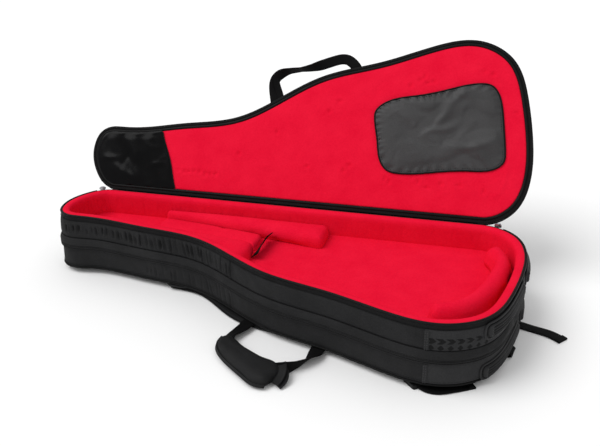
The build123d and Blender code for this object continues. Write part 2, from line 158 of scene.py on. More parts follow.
def raised(loop, z):
    """Plan points lifted to one height."""
    return np.column_stack([loop, np.full(len(loop), z)])


def directions(line, closed=False):
    """Unit tangents along a line."""
    if closed:
        tangent = np.roll(line, -1, 0) - np.roll(line, 1, 0)
    else:
        tangent = np.gradient(line, axis=0)
    return tangent / np.linalg.norm(tangent, axis=1, keepdims=True)


def leftward(tangent):
    return np.stack([-tangent[:, 1], tangent[:, 0]], -1)


def winding(loop):
    """Twice the signed area of a loop."""
    following = np.roll(loop, -1, 0)
    return np.sum(loop[:, 0] * following[:, 1] - following[:, 0] * loop[:, 1])


def shrink(loop, distance):
    """A closed loop moved inward."""
    inward = leftward(directions(loop, closed=True)) * np.sign(winding(loop))
    return loop + inward * distance


def to_edge(points, loop):
    """Distance of each point to a closed loop, and whether it lies inside."""
    start = loop
    along = np.roll(loop, -1, 0) - start
    distance = np.empty(len(points))
    inside = np.empty(len(points), bool)
    for k in range(0, len(points), 1000):
        p = points[k : k + 1000, None, :]
        share = ((p - start) * along).sum(-1) / (along**2).sum(-1)
        gap = p - start - np.clip(share, 0, 1)[..., None] * along
        distance[k : k + 1000] = np.sqrt((gap**2).sum(-1).min(1))
        above = (start[:, 1] > p[..., 1]) != (start[:, 1] + along[:, 1] > p[..., 1])
        rise = np.where(along[:, 1] == 0, 1, along[:, 1])
        crossing = start[:, 0] + (p[..., 1] - start[:, 1]) / rise * along[:, 0]
        inside[k : k + 1000] = (above & (p[..., 0] < crossing)).sum(1) % 2 == 1
    return distance, inside


def node_outline(node):
    """Outer edge of a node's top face, as a closed loop of plan points."""
    mesh = frame["nodes"][node].data
    points = np.round(vertices(node), 3)
    top = points[:, 2].max() - 0.01
    uses = {}
    for face in mesh.polygons:
        corners = [tuple(points[i]) for i in face.vertices]
        if min(corner[2] for corner in corners) < top:
            continue
        for a, b in zip(corners, corners[1:] + corners[:1]):
            uses.setdefault(frozenset((a, b)), []).append((a, b))
    following = {pair[0][0]: pair[0][1] for pair in uses.values() if len(pair) == 1}
    loops = []
    while following:
        first, corner = following.popitem()
        loop = [first]
        while corner in following:
            loop.append(corner)
            corner = following.pop(corner)
        loops.append(np.array(loop)[:, :2])
    return max(loops, key=lambda loop: abs(winding(loop)))


def outline_of_bag():
    """The shell's plan outline, clockwise from the bout end of the hinge."""
    loop = node_outline("upper_side_wall")
    if winding(loop) > 0:
        loop = loop[::-1]
    loop = spline(reclosed(loop, 10.0), 1.0, closed=True)
    first = np.argmin(np.hypot(loop[:, 0] - HINGE_START, loop[:, 1] - HINGE_Y))
    return np.roll(loop, -first, 0)


OUTLINE = outline_of_bag()
OUTWARD = leftward(directions(OUTLINE, closed=True))
ARC = np.r_[0, np.cumsum(np.linalg.norm(np.diff(OUTLINE, axis=0), axis=1))]
ROUND = ARC[-1] + np.linalg.norm(OUTLINE[0] - OUTLINE[-1])


def arc_at(x, y):
    """Arc length of the outline's point nearest to a plan point."""
    return ARC[np.argmin(np.hypot(OUTLINE[:, 0] - x, OUTLINE[:, 1] - y))]


def around(values, s):
    """Values given along the outline, read at arc lengths s."""
    columns = [np.interp(s, ARC, column, period=ROUND) for column in values.T]
    return np.stack(columns, -1)


HEADSTOCK = arc_at(-520, 95)
FLARE, FLARE_REACH = 12.0, 105


def flare(s, z):
    """How far the slack headstock end stands out, growing down from the rim."""
    depth = np.clip((RIM - z) / (RIM - BASE), 0, 1)
    return FLARE * np.exp(-(((s % ROUND - HEADSTOCK) / FLARE_REACH) ** 4)) * depth**0.8


def on_wall(points):
    """Points given as arc length, height and distance off the wall."""
    s, z, off = np.moveaxis(np.asarray(points, float), -1, 0)
    reach = off + flare(s, z)
    plan = around(OUTLINE, s) + around(OUTWARD, s) * reach[..., None]
    return np.concatenate([plan, z[..., None]], -1)


def inset_loop(inset, step=STEP, z=RIM):
    """The outline moved inward, as a closed loop."""
    s = np.arange(0, ROUND, step)
    return around(OUTLINE, s) + around(OUTWARD, s) * (flare(s, z) - inset)[:, None]


def end_arc(y):
    """Arc lengths where a band round the bag starts and ends, level with y."""
    bout = ARC[(OUTLINE[:, 0] > 0) & (OUTLINE[:, 1] < y)].min()
    head = ARC[(OUTLINE[:, 0] < 0) & (OUTLINE[:, 1] < y)].max()
    return bout, head


# ---- geometry makers, each giving points and faces -------------------------------------
def grid_faces(rows, columns, wrap_rows=False, wrap_columns=False):
    faces = []
    for i in range(rows if wrap_rows else rows - 1):
        for j in range(columns if wrap_columns else columns - 1):
            k = (i + 1) % rows
            m = (j + 1) % columns
            faces.append((i * columns + j, i * columns + m, k * columns + m, k * columns + j))
    return faces


def loft(sections, closed=False):
    """Closed sections joined in a row; open lofts get end caps."""
    rows, columns = sections.shape[:2]
    faces = grid_faces(rows, columns, closed, True)
    if not closed:
        faces.append(tuple(range(columns)))
        faces.append(tuple((rows - 1) * columns + j for j in range(columns)))
    return sections.reshape(-1, 3), faces


def wall_band(profile, start=None, end=None, step=STEP, relief=None):
    """Closed profile of (off the wall, height) points, run round the bag."""
    closed = start is None
    if closed:
        s = np.arange(0, ROUND, step)
    else:
        s = np.linspace(start, end, max(2, round((end - start) / step)) + 1)
    profile = np.asarray(profile, float)
    s, z = np.meshgrid(s, profile[:, 1], indexing="ij")
    off = np.broadcast_to(profile[:, 0], s.shape).copy()
    if relief is not None:
        off += relief(s, z, off)
    return loft(on_wall(np.stack([s, z, off], -1)), closed)


def section_frames(path, closed=False, normal=None):
    """Tangent, side and upward unit vectors along a path."""
    tangent = directions(path, closed)
    up = np.array([0, 0, 1.0]) if normal is None else np.asarray(normal, float)
    up = np.broadcast_to(up, path.shape)
    side = np.cross(tangent, up)
    side /= np.linalg.norm(side, axis=1, keepdims=True)
    return tangent, side, np.cross(side, tangent)


def tube(path, radius, sides=8, closed=False, normal=None):
    """Round bar along a path; radius may change along it."""
    path = np.asarray(path, float)
    _, side, up = section_frames(path, closed, normal)
    radius = np.broadcast_to(radius, len(path))[:, None, None]
    angle = np.arange(sides) * 2 * math.pi / sides
    circle = np.cos(angle)[:, None] * side[:, None] + np.sin(angle)[:, None] * up[:, None]
    return loft(path[:, None] + radius * circle, closed)


RIBBON_SHAPE = [(-1, -0.4), (-0.96, -1), (-0.5, -1), (0, -1), (0.5, -1), (0.96, -1), (1, -0.4)]


def ribbon(path, across, width, thickness):
    """Flat band along a path; across is its width direction, one or one per point."""
    path = np.asarray(path, float)
    across = np.broadcast_to(np.asarray(across, float), path.shape)
    tangent = directions(path)
    across = across - (across * tangent).sum(1, keepdims=True) * tangent
    across = across / np.linalg.norm(across, axis=1, keepdims=True)
    normal = np.cross(tangent, across)
    upper = [(-a, -b) for a, b in RIBBON_SHAPE]
    sections = []
    for a, b in RIBBON_SHAPE + upper:
        sections.append(path + across * (a * width / 2) + normal * (b * thickness / 2))
    return loft(np.stack(sections, 1))


def twist(path, directions_given):
    """Width directions spread evenly along a path and eased between."""
    given = np.array(directions_given, float)
    at = np.linspace(0, len(given) - 1, len(path))
    return np.stack([np.interp(at, range(len(given)), column) for column in given.T], -1)


def fill(loop, spacing, rings):
    """Triangles that fill a loop: points, distance to the edge, faces, loop's indices."""
    rows = [loop]
    for distance in rings:
        row = shrink(loop, distance)
        gap, inside = to_edge(row, loop)
        rows.append(row[inside & (gap > 0.9 * distance)])
    low, high = loop.min(0), loop.max(0)
    y = np.arange(low[1], high[1], spacing * math.sqrt(0.75))
    x = np.arange(low[0], high[0], spacing)
    grid = np.stack(np.meshgrid(x, y), -1)
    grid[1::2, :, 0] += spacing / 2
    grid = grid.reshape(-1, 2)
    gap, inside = to_edge(grid, loop)
    margin = (rings[-1] if len(rings) else 0) + 0.6 * spacing
    rows.append(grid[inside & (gap > margin)])
    points = [Vector(p) for p in np.vstack(rows)]
    found, _, faces, origins, _, _ = delaunay_2d_cdt(
        points, [], [list(range(len(loop)))], 1, 1e-4
    )
    place = {origin: i for i, group in enumerate(origins) for origin in group}
    points = np.array(found)
    border = [place[i] for i in range(len(loop))]
    return points, to_edge(points, loop)[0], [tuple(face) for face in faces], border


def dome(distance, radius, rise=0.0, reach=1.0):
    """Height lost near a rounded edge, plus a crown that is full at reach."""
    d = np.minimum(distance, radius)
    edge = np.sqrt(np.maximum(radius**2 - (radius - d) ** 2, 0)) - radius
    share = np.clip(distance / reach, 0, 1)
    return edge + rise * share * (2 - share)


def slab(loop, low, high, spacing=8.0, rings=(1.5, 4, 8), top=None, bottom=None, bulge=0.0):
    """Closed body over a loop; top and bottom give heights from (x, y, edge distance)."""
    loop = np.asarray(loop, float)
    points, gap, faces, border = fill(loop, spacing, rings)
    x, y = points.T
    upper = high + (top(x, y, gap) if top else 0 * x)
    lower = low + (bottom(x, y, gap) if bottom else 0 * x)
    count = len(points)
    outward = -leftward(directions(loop, closed=True)) * np.sign(winding(loop))
    rows = 4 if bulge else 1
    middle = []
    for k in range(1, rows):
        share = k / rows
        z = lower[border] + (upper[border] - lower[border]) * share
        reach = bulge * math.sin(math.pi * share)
        middle.append(np.column_stack([loop + outward * reach, z]))
    everything = [np.column_stack([x, y, lower]), np.column_stack([x, y, upper])] + middle
    levels = [border]
    levels += [[2 * count + k * len(loop) + i for i in range(len(loop))] for k in range(rows - 1)]
    levels += [[count + i for i in border]]
    result = [face[::-1] for face in faces] + [tuple(count + i for i in f) for f in faces]
    for a, b in zip(levels, levels[1:]):
        for i in range(len(loop)):
            j = (i + 1) % len(loop)
            result.append((a[i], a[j], b[j], b[i]))
    return np.vstack(everything), result


def rounded(centre, size, corner, turn=0.0, step=STEP):
    """Rounded rectangle as a loop."""
    w, h = size[0] / 2 - corner, size[1] / 2 - corner
    points = []
    for k, (x, y) in enumerate([(w, h), (-w, h), (-w, -h), (w, -h)]):
        angle = np.radians(np.linspace(90 * k, 90 * k + 90, 7))
        points += list(np.column_stack([x + corner * np.cos(angle), y + corner * np.sin(angle)]))
    points = even(np.array(points + points[:1]), step, closed=True)
    c, s = math.cos(math.radians(turn)), math.sin(math.radians(turn))
    return points @ np.array([[c, s], [-s, c]]) + np.array(centre)


def block(centre, size, corner):
    """Small box with rounded sides and softened faces."""
    loop = rounded(centre[:2], size[:2], corner, step=max(0.6, corner / 1.5))
    low, high = centre[2] - size[2] / 2, centre[2] + size[2] / 2
    soft = min(0.35 * size[2], 0.8)
    ease = lambda x, y, d: dome(d, soft)
    ease_under = lambda x, y, d: -dome(d, soft)
    rings = (soft / 2, soft)
    return slab(loop, low, high, min(size[:2]) / 2, rings, ease, ease_under)


def merged(*parts):
    """Several geometries as one."""
    points, faces, count = [], [], 0
    for part_points, part_faces in parts:
        points.append(part_points)
        faces += [tuple(i + count for i in face) for face in part_faces]
        count += len(part_points)
    return np.vstack(points), faces


STITCH_LENGTH, STITCH_GAP = 3.2, 2.0


def stitches(path, normal, radius=0.45):
    """Row of thread stitches along a path, standing a little proud along normal."""
    path = np.asarray(path, float)
    normal = np.broadcast_to(np.asarray(normal, float), path.shape)
    given = np.linspace(0, 1, len(path))
    path = even(path, STITCH_LENGTH + STITCH_GAP)
    at = np.linspace(0, 1, len(path))
    normal = np.stack([np.interp(at, given, column) for column in normal.T], -1)
    parts = []
    for point, along, up in zip(path[:-1], directions(path), normal):
        across = np.cross(along, up)
        ends = np.array([-0.5, -0.3, 0.3, 0.5]) * STITCH_LENGTH
        thick = np.array([0.3, 1, 1, 0.3]) * radius
        lift = np.array([-0.2, 0.35, 0.35, -0.2]) * radius
        rings = []
        for e, r, z in zip(ends, thick, lift):
            middle = point + along * e + up * z
            rings.append([middle + across * r, middle + up * r, middle - across * r, middle - up * r])
        parts.append(loft(np.array(rings)))
    return merged(*parts)


def bump(value, centre, width):
    """Smooth bump of height 1."""
    return np.exp(-(((value - centre) / width) ** 2))


def wrinkles(seed, count, area, length, width, depth, angle=(0, 180)):
    """A relief of soft creases scattered over an area, as a function of plan points."""
    rng = np.random.default_rng(seed)
    creases = []
    for _ in range(count):
        x, y = rng.uniform(area[0], area[1]), rng.uniform(area[2], area[3])
        turn = math.radians(rng.uniform(*angle))
        size = rng.uniform(0.6, 1.3)
        deep = rng.uniform(-1, 0.7) * depth
        creases.append((x, y, math.cos(turn), math.sin(turn), length * size, width * size, deep))

    def relief(x, y):
        total = np.zeros_like(x)
        for cx, cy, c, s, long, wide, deep in creases:
            u = (x - cx) * c + (y - cy) * s
            v = -(x - cx) * s + (y - cy) * c + u * u * 0.12 / long
            total += deep * np.exp(-((u / long) ** 2) - (v / wide) ** 2)
        return total

    return relief


# ---- materials -------------------------------------------------------------------------
class Nodes:
    """Short way to add and join shader nodes."""

    def __init__(self, name):
        self.material = bpy.data.materials.new(name)
        self.material.use_nodes = True
        self.tree = self.material.node_tree
        self.shader = self.tree.nodes["Principled BSDF"]

    def add(self, kind, inputs=(), **settings):
        node = self.tree.nodes.new("ShaderNode" + kind)
        for key, value in settings.items():
            setattr(node, key, value)
        for key, value in dict(inputs).items():
            if isinstance(value, bpy.types.NodeSocket):
                self.tree.links.new(value, node.inputs[key])
            else:
                node.inputs[key].default_value = value
        return node

    def noise(self, scale, detail=3.0):
        place = self.add("TexCoord").outputs["Object"]
        found = self.add("TexNoise", {"Vector": place, "Scale": scale, "Detail": detail})
        return found.outputs["Fac"]

    def average(self, first, second):
        total = self.add("Math", {0: first, 1: second}, operation="ADD").outputs[0]
        return self.add("Math", {0: total, 1: 0.5}, operation="MULTIPLY").outputs[0]

    def spread(self, factor, low, high):
        return self.add(
            "MapRange", {"Value": factor, "From Min": 0.3, "From Max": 0.7, "To Min": low,
                         "To Max": high}
        ).outputs["Result"]

    def tint(self, factor, first, second):
        mix = self.add("Mix", data_type="RGBA")
        self.tree.links.new(self.spread(factor, 0.0, 1.0), mix.inputs["Factor"])
        mix.inputs["A"].default_value = (*first, 1)
        mix.inputs["B"].default_value = (*second, 1)
        self.tree.links.new(mix.outputs["Result"], self.shader.inputs["Base Color"])

    def rough(self, factor, low, high):
        self.tree.links.new(self.spread(factor, low, high), self.shader.inputs["Roughness"])

    def relief(self, height, distance, strength=1.0):
        """Bump, laid over any bump already there."""
        inputs = {"Height": height, "Distance": distance, "Strength": strength}
        before = self.shader.inputs["Normal"].links
        if before:
            inputs["Normal"] = before[0].from_socket
        node = self.add("Bump", inputs)
        self.tree.links.new(node.outputs["Normal"], self.shader.inputs["Normal"])

    def weave(self, pitch):
        """Height of a plain weave with that thread pitch, from the piece's UV map."""
        place = self.add("TexCoord").outputs["UV"]
        threads = []
        for direction in "XY":
            wave = self.add(
                "TexWave", {"Vector": place, "Scale": 0.314 / pitch}, bands_direction=direction
            )
            threads.append(wave.outputs["Fac"])
        return self.add("Math", {0: threads[0], 1: threads[1]}, operation="MULTIPLY").outputs[0]


def woven(name, dark, light, pitch=0.0009, depth=0.00012, rough=(0.62, 0.8), specular=0.1):
    """Woven nylon or webbing."""
    nodes = Nodes(name)
    nodes.tint(nodes.average(nodes.noise(9.0), nodes.noise(520.0, 1.0)), dark, light)
    nodes.rough(nodes.noise(40.0), *rough)
    nodes.relief(nodes.weave(pitch), depth)
    nodes.relief(nodes.noise(420.0, 2.0), 0.0005, 0.7)
    nodes.shader.inputs["Specular IOR Level"].default_value = specular
    return nodes.material


def fleece(name, dark, light):
    """Brushed lining with a short soft pile."""
    nodes = Nodes(name)
    nodes.tint(nodes.average(nodes.noise(22.0, 4.0), nodes.noise(300.0, 2.0)), dark, light)
    nodes.rough(nodes.noise(60.0), 0.85, 0.97)
    nodes.relief(nodes.noise(900.0, 4.0), 0.0006, 0.7)
    nodes.relief(nodes.noise(45.0, 2.0), 0.002, 0.35)
    nodes.shader.inputs["Specular IOR Level"].default_value = 0.03
    return nodes.material


def moulded(name, dark, light, rough=(0.35, 0.5), grain=0.0001, metallic=0.0):
    """Moulded plastic or rubber, or cast metal, with a fine grain."""
    nodes = Nodes(name)
    nodes.tint(nodes.noise(30.0), dark, light)
    nodes.rough(nodes.noise(120.0), *rough)
    nodes.relief(nodes.noise(1100.0, 2.0), grain, 0.8)
    nodes.shader.inputs["Metallic"].default_value = metallic
    nodes.shader.inputs["Specular IOR Level"].default_value = 0.5 if metallic else 0.1
    return nodes.material


def glossy_sheet(name):
    """Smooth vinyl with a faint leather grain."""
    nodes = Nodes(name)
    nodes.tint(nodes.noise(7.0), (0.0014, 0.0014, 0.0016), (0.003, 0.003, 0.0034))
    nodes.rough(nodes.noise(25.0), 0.14, 0.24)
    nodes.relief(nodes.noise(500.0, 2.0), 0.00006, 0.5)
    nodes.shader.inputs["Specular IOR Level"].default_value = 0.07
    return nodes.material


def spacer_mesh(name):
    """Open knitted mesh with rows of small holes."""
    nodes = Nodes(name)
    nodes.tint(nodes.noise(12.0), (0.012, 0.012, 0.013), (0.02, 0.02, 0.022))
    nodes.rough(nodes.noise(50.0), 0.8, 0.95)
    place = nodes.add("TexCoord").outputs["UV"]
    holes = nodes.add("TexVoronoi", {"Vector": place, "Scale": 380.0, "Randomness": 0.15})
    nodes.relief(holes.outputs["Distance"], 0.0009)
    nodes.shader.inputs["Sheen Weight"].default_value = 0.05
    return nodes.material


def dark(level):
    """Near-neutral colour with a faint blue."""
    return (level, level, level * 1.04)


FINISH = {
    "nylon_black": woven("nylon_black", dark(0.009), dark(0.022)),
    "nylon_patch": woven("nylon_patch", dark(0.018), dark(0.034), 0.0012),
    "nylon_grey": woven("nylon_grey", dark(0.018), dark(0.034), 0.0008, rough=(0.34, 0.44),
                        specular=0.34),
    "grip_nylon": woven("grip_nylon", dark(0.008), dark(0.016), 0.0008, rough=(0.5, 0.65)),
    "webbing_black": woven("webbing_black", dark(0.003), dark(0.006), 0.0016, 0.0003, (0.55, 0.7),
                           specular=0.05),
    "zip_tape": woven("zip_tape", dark(0.005), dark(0.009), 0.0012, 0.0002),
    "strap_pad": woven("strap_pad", dark(0.006), dark(0.012)),
    "piping_black": moulded("piping_black", dark(0.003), dark(0.006), (0.4, 0.55)),
    "rubber_black": moulded("rubber_black", dark(0.017), dark(0.028), (0.4, 0.5), 0.00015),
    "buckle_plastic": moulded("buckle_plastic", dark(0.005), dark(0.009), (0.3, 0.42)),
    "zip_metal": moulded("zip_metal", dark(0.7), dark(0.85), (0.25, 0.4), 0.00004, 1.0),
    "pull_cord": moulded("pull_cord", dark(0.006), dark(0.01), (0.55, 0.7), 0.0002),
    "lining_red": fleece("lining_red", (0.7, 0.004, 0.028), (0.8, 0.01, 0.04)),
    "gloss_guard": glossy_sheet("gloss_guard"),
    "mesh_pad": spacer_mesh("mesh_pad"),
}


# ---- making pieces ---------------------------------------------------------------------
ON_FLOOR = 0.3  # nothing hangs below this height


def box_uv(mesh):
    """UV map in metres, seen along each face's main direction."""
    mesh.uv_layers.new(name="UVMap")
    count = len(mesh.loops)
    where = np.empty(count, int)
    mesh.loops.foreach_get("vertex_index", where)
    points = np.empty(len(mesh.vertices) * 3)
    mesh.vertices.foreach_get("co", points)
    points = points.reshape(-1, 3)[where]
    normals = np.empty(len(mesh.polygons) * 3)
    mesh.polygons.foreach_get("normal", normals)
    sizes = np.empty(len(mesh.polygons), int)
    mesh.polygons.foreach_get("loop_total", sizes)
    main = np.repeat(np.abs(normals.reshape(-1, 3)).argmax(1), sizes)
    u = np.where(main == 0, points[:, 1], points[:, 0])
    v = np.where(main == 2, points[:, 1], points[:, 2])
    mesh.uv_layers["UVMap"].data.foreach_set("uv", np.column_stack([u, v]).ravel())


def piece(name, geometry, slot, body, nodes=(), place=None, sharp=50.0, inflate=None):
    """One finished piece: mesh, material, body, slot and the CAD nodes it stands for."""
    points, faces = geometry
    points = np.array(place(points) if place else points)
    points[:, 2] = np.maximum(points[:, 2], ON_FLOOR)
    mesh = bpy.data.meshes.new(name)
    mesh.from_pydata((np.asarray(points) * MM).tolist(), [], faces)
    mesh.validate()
    obj = bpy.data.objects.new(name, mesh)
    bpy.context.scene.collection.objects.link(obj)
    if inflate:
        swell(obj, **inflate)
    outward_normals(obj.data)
    box_uv(obj.data)
    obj.data.polygons.foreach_set("use_smooth", [True] * len(obj.data.polygons))
    obj.data.set_sharp_from_angle(angle=math.radians(sharp))
    obj.data.materials.append(FINISH[slot])
    if body:
        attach(obj, body)
    if nodes:
        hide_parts(*nodes)
    return obj


def outward_normals(mesh):
    work = bmesh.new()
    work.from_mesh(mesh)
    bmesh.ops.recalc_face_normals(work, faces=work.faces)
    work.to_mesh(mesh)
    work.free()


SIMULATED_FRAMES = 14


def swell(obj, pressure, cap, low):
    """Cloth simulation with air pressure, capped, and kept above a height it lies on."""
    start = np.array([v.co for v in obj.data.vertices])
    cloth = obj.modifiers.new("Cloth", "CLOTH")
    cloth.settings.use_pressure = True
    cloth.settings.uniform_pressure_force = pressure
    cloth.settings.quality = 6
    cloth.settings.mass = 0.3
    cloth.settings.tension_stiffness = 12
    cloth.settings.compression_stiffness = 12
    cloth.settings.shear_stiffness = 4
    cloth.settings.bending_stiffness = 0.4
    cloth.settings.effector_weights.gravity = 0
    cloth.settings.shrink_min = -0.02
    for number in range(1, SIMULATED_FRAMES + 1):
        bpy.context.scene.frame_set(number)
    graph = bpy.context.evaluated_depsgraph_get()
    result = obj.evaluated_get(graph).data
    moved = np.array([v.co for v in result.vertices])
    obj.modifiers.remove(cloth)
    bpy.context.scene.frame_set(1)
    shift = moved - start
    size = np.linalg.norm(shift, axis=1, keepdims=True)
    shift *= np.minimum(1, cap * MM / np.maximum(size, 1e-9))
    moved = start + shift
    moved[:, 2] = np.maximum(moved[:, 2], low * MM)
    obj.data.vertices.foreach_set("co", moved.ravel())
    obj.data.update()


# ---- lower section ---------------------------------------------------------------------
# A wall's face at its seams, off the wall, and how far its padding swells past that.
UPPER_FACE, UPPER_RISE = -0.6, 3.0
LOWER_FACE, LOWER_RISE = -2.0, 1.6
PATCH_THICKNESS = 0.9


def pucker_relief(seed, span, low, high, spacing, depth):
    """Creases in a padded wall: short dents at the span's end, long slanted folds at its start."""
    rng = np.random.default_rng(seed)
    creases = []
    at = span[0]
    while at < span[1]:
        waist = (span[1] - at) / (span[1] - span[0])
        middle = rng.uniform(0.4, 0.62)
        reach = (0.2 + 0.26 * waist) * rng.uniform(0.7, 1.15)
        deep = depth * rng.uniform(0.35, 1.15)
        wide = rng.uniform(1.7, 3.4)
        lean = rng.uniform(-2, 3) + waist * rng.uniform(-2, 15)
        creases.append((at, middle, reach, deep, wide, lean))
        at += spacing * rng.uniform(0.6, 1.35)

    def relief(s, z, off):
        share = (z - low) / (high - low)
        total = np.zeros_like(s)
        for at, middle, reach, deep, wide, lean in creases:
            across = (s - at - lean * (share - middle)) / wide
            along = (share - middle) / reach
            total -= deep * np.exp(-(across**2) - along**4)
            total += 0.4 * deep * np.exp(-((across + 2.1) ** 2) / 2 - along**4)
        return np.where(off > -3.5, total, 0)

    return relief


HINGE_FADE = 30  # length over which the bulge comes back past the hinge line


def flat_at_hinge(relief, face):
    """Takes the bulge off along the hinge line, where the next section swings past."""
    first = arc_at(HINGE_END, HINGE_Y)

    def held(s, z, off):
        share = np.clip((s - first) / HINGE_FADE, 0, 1) + np.clip(1 - s / HINGE_FADE, 0, 1)
        return relief(s, z, off) - share * np.maximum(off - face, 0)

    return held


def upright(offsets_and_heights, inner):
    """Outer wall profile closed by a plain inner side."""
    outer = np.array(offsets_and_heights, float)
    return np.vstack([outer, [(inner, outer[-1, 1]), (inner, outer[0, 1])]])


def bulging(low, high, base, rise, rows=12):
    """Outer face that swells between two seams."""
    share = np.linspace(0, 1, rows)
    swell_by = rise * (1 - (2 * share - 1) ** 4) ** 0.6
    return [(base + b, low + (high - low) * v) for b, v in zip(swell_by, share)]


def build_lower_shell():
    low, high = heights("lower_side_wall")
    face = [(LOWER_FACE - 5.5, BASE + 0.4), (LOWER_FACE - 2, BASE + 1.6)]
    face += bulging(BASE + 4, high, LOWER_FACE, LOWER_RISE, 20)
    relief = pucker_relief(3, (arc_at(-62, -46), arc_at(-300, 25)), BASE, FLAP_LOW, 17, 2.4)
    wall = wall_band(upright(face, -15.8), step=1.5, relief=flat_at_hinge(relief, LOWER_FACE))
    piece("lower_wall", wall, "nylon_black", "lower_section", ["lower_side_wall"])
    quilt = wrinkles(11, 40, WHOLE_BAG, 60, 10, 0.6)
    back = slab(inset_loop(4, z=BASE), BASE, low + 0.2, 9, (2, 5),
                bottom=lambda x, y, d: -quilt(x, y) * (d > 6))
    piece("back_cover", back, "nylon_black", "lower_section", ["back_panel"])
    dimples = wrinkles(12, 60, WHOLE_BAG, 26, 7, 0.9)
    floor = slab(inset_loop(16.3, z=low), low + 0.4, low + 2.6, 10, (2, 5),
                 top=lambda x, y, d: dimples(x, y) * (d > 8))
    piece("lower_floor_lining", floor, "lining_red", "lower_section", ["lower_lining"])
    gathers = pucker_relief(13, (0, ROUND), low, high, 30, 0.8)
    lining = [(-16, low + 1), (-16, high - 2), (-17, high), (-19, high - 1.5), (-19.5, 50),
              (-19, low + 3)]
    skin = wall_band(lining, relief=lambda s, z, off: gathers(s, z, off + 16) * 0.6)
    piece("lower_wall_lining", skin, "lining_red", "lower_section")


def wall_line(z, off, start=0.0, end=None):
    """Line round the wall at one height and distance off it."""
    s = np.linspace(start, end or ROUND, round(((end or ROUND) - start) / STEP),
                    endpoint=end is not None)
    line = on_wall(np.column_stack([s, 0 * s + z, 0 * s + off]))
    return line, np.column_stack([around(OUTWARD, s), 0 * s])


def wall_stitches(z, off, start, end):
    return stitches(*wall_line(z, off, start, end))


def build_lower_trim():
    line, _ = wall_line(BASE + 2.6, -1.4)
    piece("bottom_cord", tube(line, 2.3, closed=True), "piping_black", "lower_section",
          ["bottom_piping"])
    start, end = end_arc(BAND_END)
    low, high = heights("mid_zip_lower_tape")
    tape = wall_band([(-2, low), (-0.9, low), (-0.7, high), (-2, high)], start, end)
    coil = tube(wall_line(high - 0.5, -0.4, start, end)[0], 1.1, 6)
    piece("middle_zip_lower", merged(tape, coil), "zip_tape", "lower_section", ["mid_zip_lower_tape"])
    rows = [wall_stitches(BASE + 9.5, -0.2, start, end),
            wall_stitches(FLAP_LOW - 2.2, -0.6, start, end)]
    piece("lower_stitching", merged(*rows), "webbing_black", "lower_section")


# ---- bout patches and bumpers ----------------------------------------------------------
PATCH_START = arc_at(362, -206)
BOUT = end_arc(BAND_END)[0]


ARROW = [(-8, 5), (2, 5), (7.5, 0.3), (2, -4.4), (-6, -4.4), (-0.5, 0.2)]
DIAMOND = [(-5, 0), (0, 5.8), (5, 0), (0, -5.8)]


DENT_PITCH, DENT_COUNT = 17.0, 7
ARROW_HEIGHT, DIAMOND_HEIGHT = 111.5, 97.5


def dent_shade_shapes():
    """Two rows of dark pads, arrowheads over diamonds, that shrink towards the bumper: painted shade of
    pressed dents.
    """
    shapes = []
    for k in range(DENT_COUNT):
        at = PATCH_START - 3 - (k + 0.5) * DENT_PITCH
        size = 1.22 - 0.05 * k
        for outline, z in ((ARROW, ARROW_HEIGHT), (DIAMOND, DIAMOND_HEIGHT)):
            loop = np.array([(at - u * size, z + v * size) for u, v in outline])
            loop = reclosed(loop, 1.6)
            shapes.append(slab(loop, -0.6, 0.25, 3.0, ()))
    low, high = heights("upper_bout_patch")
    face = bulging(low, high, UPPER_FACE + PATCH_THICKNESS, UPPER_RISE, 34)
    off, z = np.array(face).T

    def lift(points):
        proud = np.interp(points[:, 1], z, off)
        return on_wall(points + np.column_stack([0 * points[:, :2], proud]))

    # The dark zip-tape finish on these pads is painted shade standing in for pressed dents.
    piece("upper_patch_dent_shade", merged(*shapes), "zip_tape", "upper_section", place=lift)


def bout_patch(node, body, face, rise):
    """Reinforcing panel sewn over the bout, with a turned edge and two rows of stitches."""
    low, high = heights(node)
    profile = bulging(low, high, face + PATCH_THICKNESS, rise, 34)
    band = wall_band(upright(profile, face), BOUT, PATCH_START, 2.0)
    hem_rows = [(off + 1.2, z) for off, z in profile[1:-1:3]]
    hem = wall_band(upright(hem_rows, face), PATCH_START - 8, PATCH_START + 0.6, 1.2)
    z = np.linspace(low + 1.5, high - 1.5, 12)
    lines = []
    for back in (1.6, 5.2):
        at = PATCH_START - back
        up = np.column_stack([around(OUTWARD, np.full(len(z), at)), 0 * z])
        off = np.interp(z, [row[1] for row in hem_rows], [row[0] for row in hem_rows]) + 0.3
        lines.append(stitches(on_wall(np.column_stack([0 * z + at, z, off])), up, radius=0.7))
    piece(node.replace("_bout_patch", "_patch"), merged(band, hem), "nylon_patch", body, [node])
    return lines


BUMPER_HALF, BUMPER_RISE, BUMPER_END = 12.5, 8.2, 9.0
BUMPER_GROOVES = (-8.0, -2.7, 2.7, 8.0)


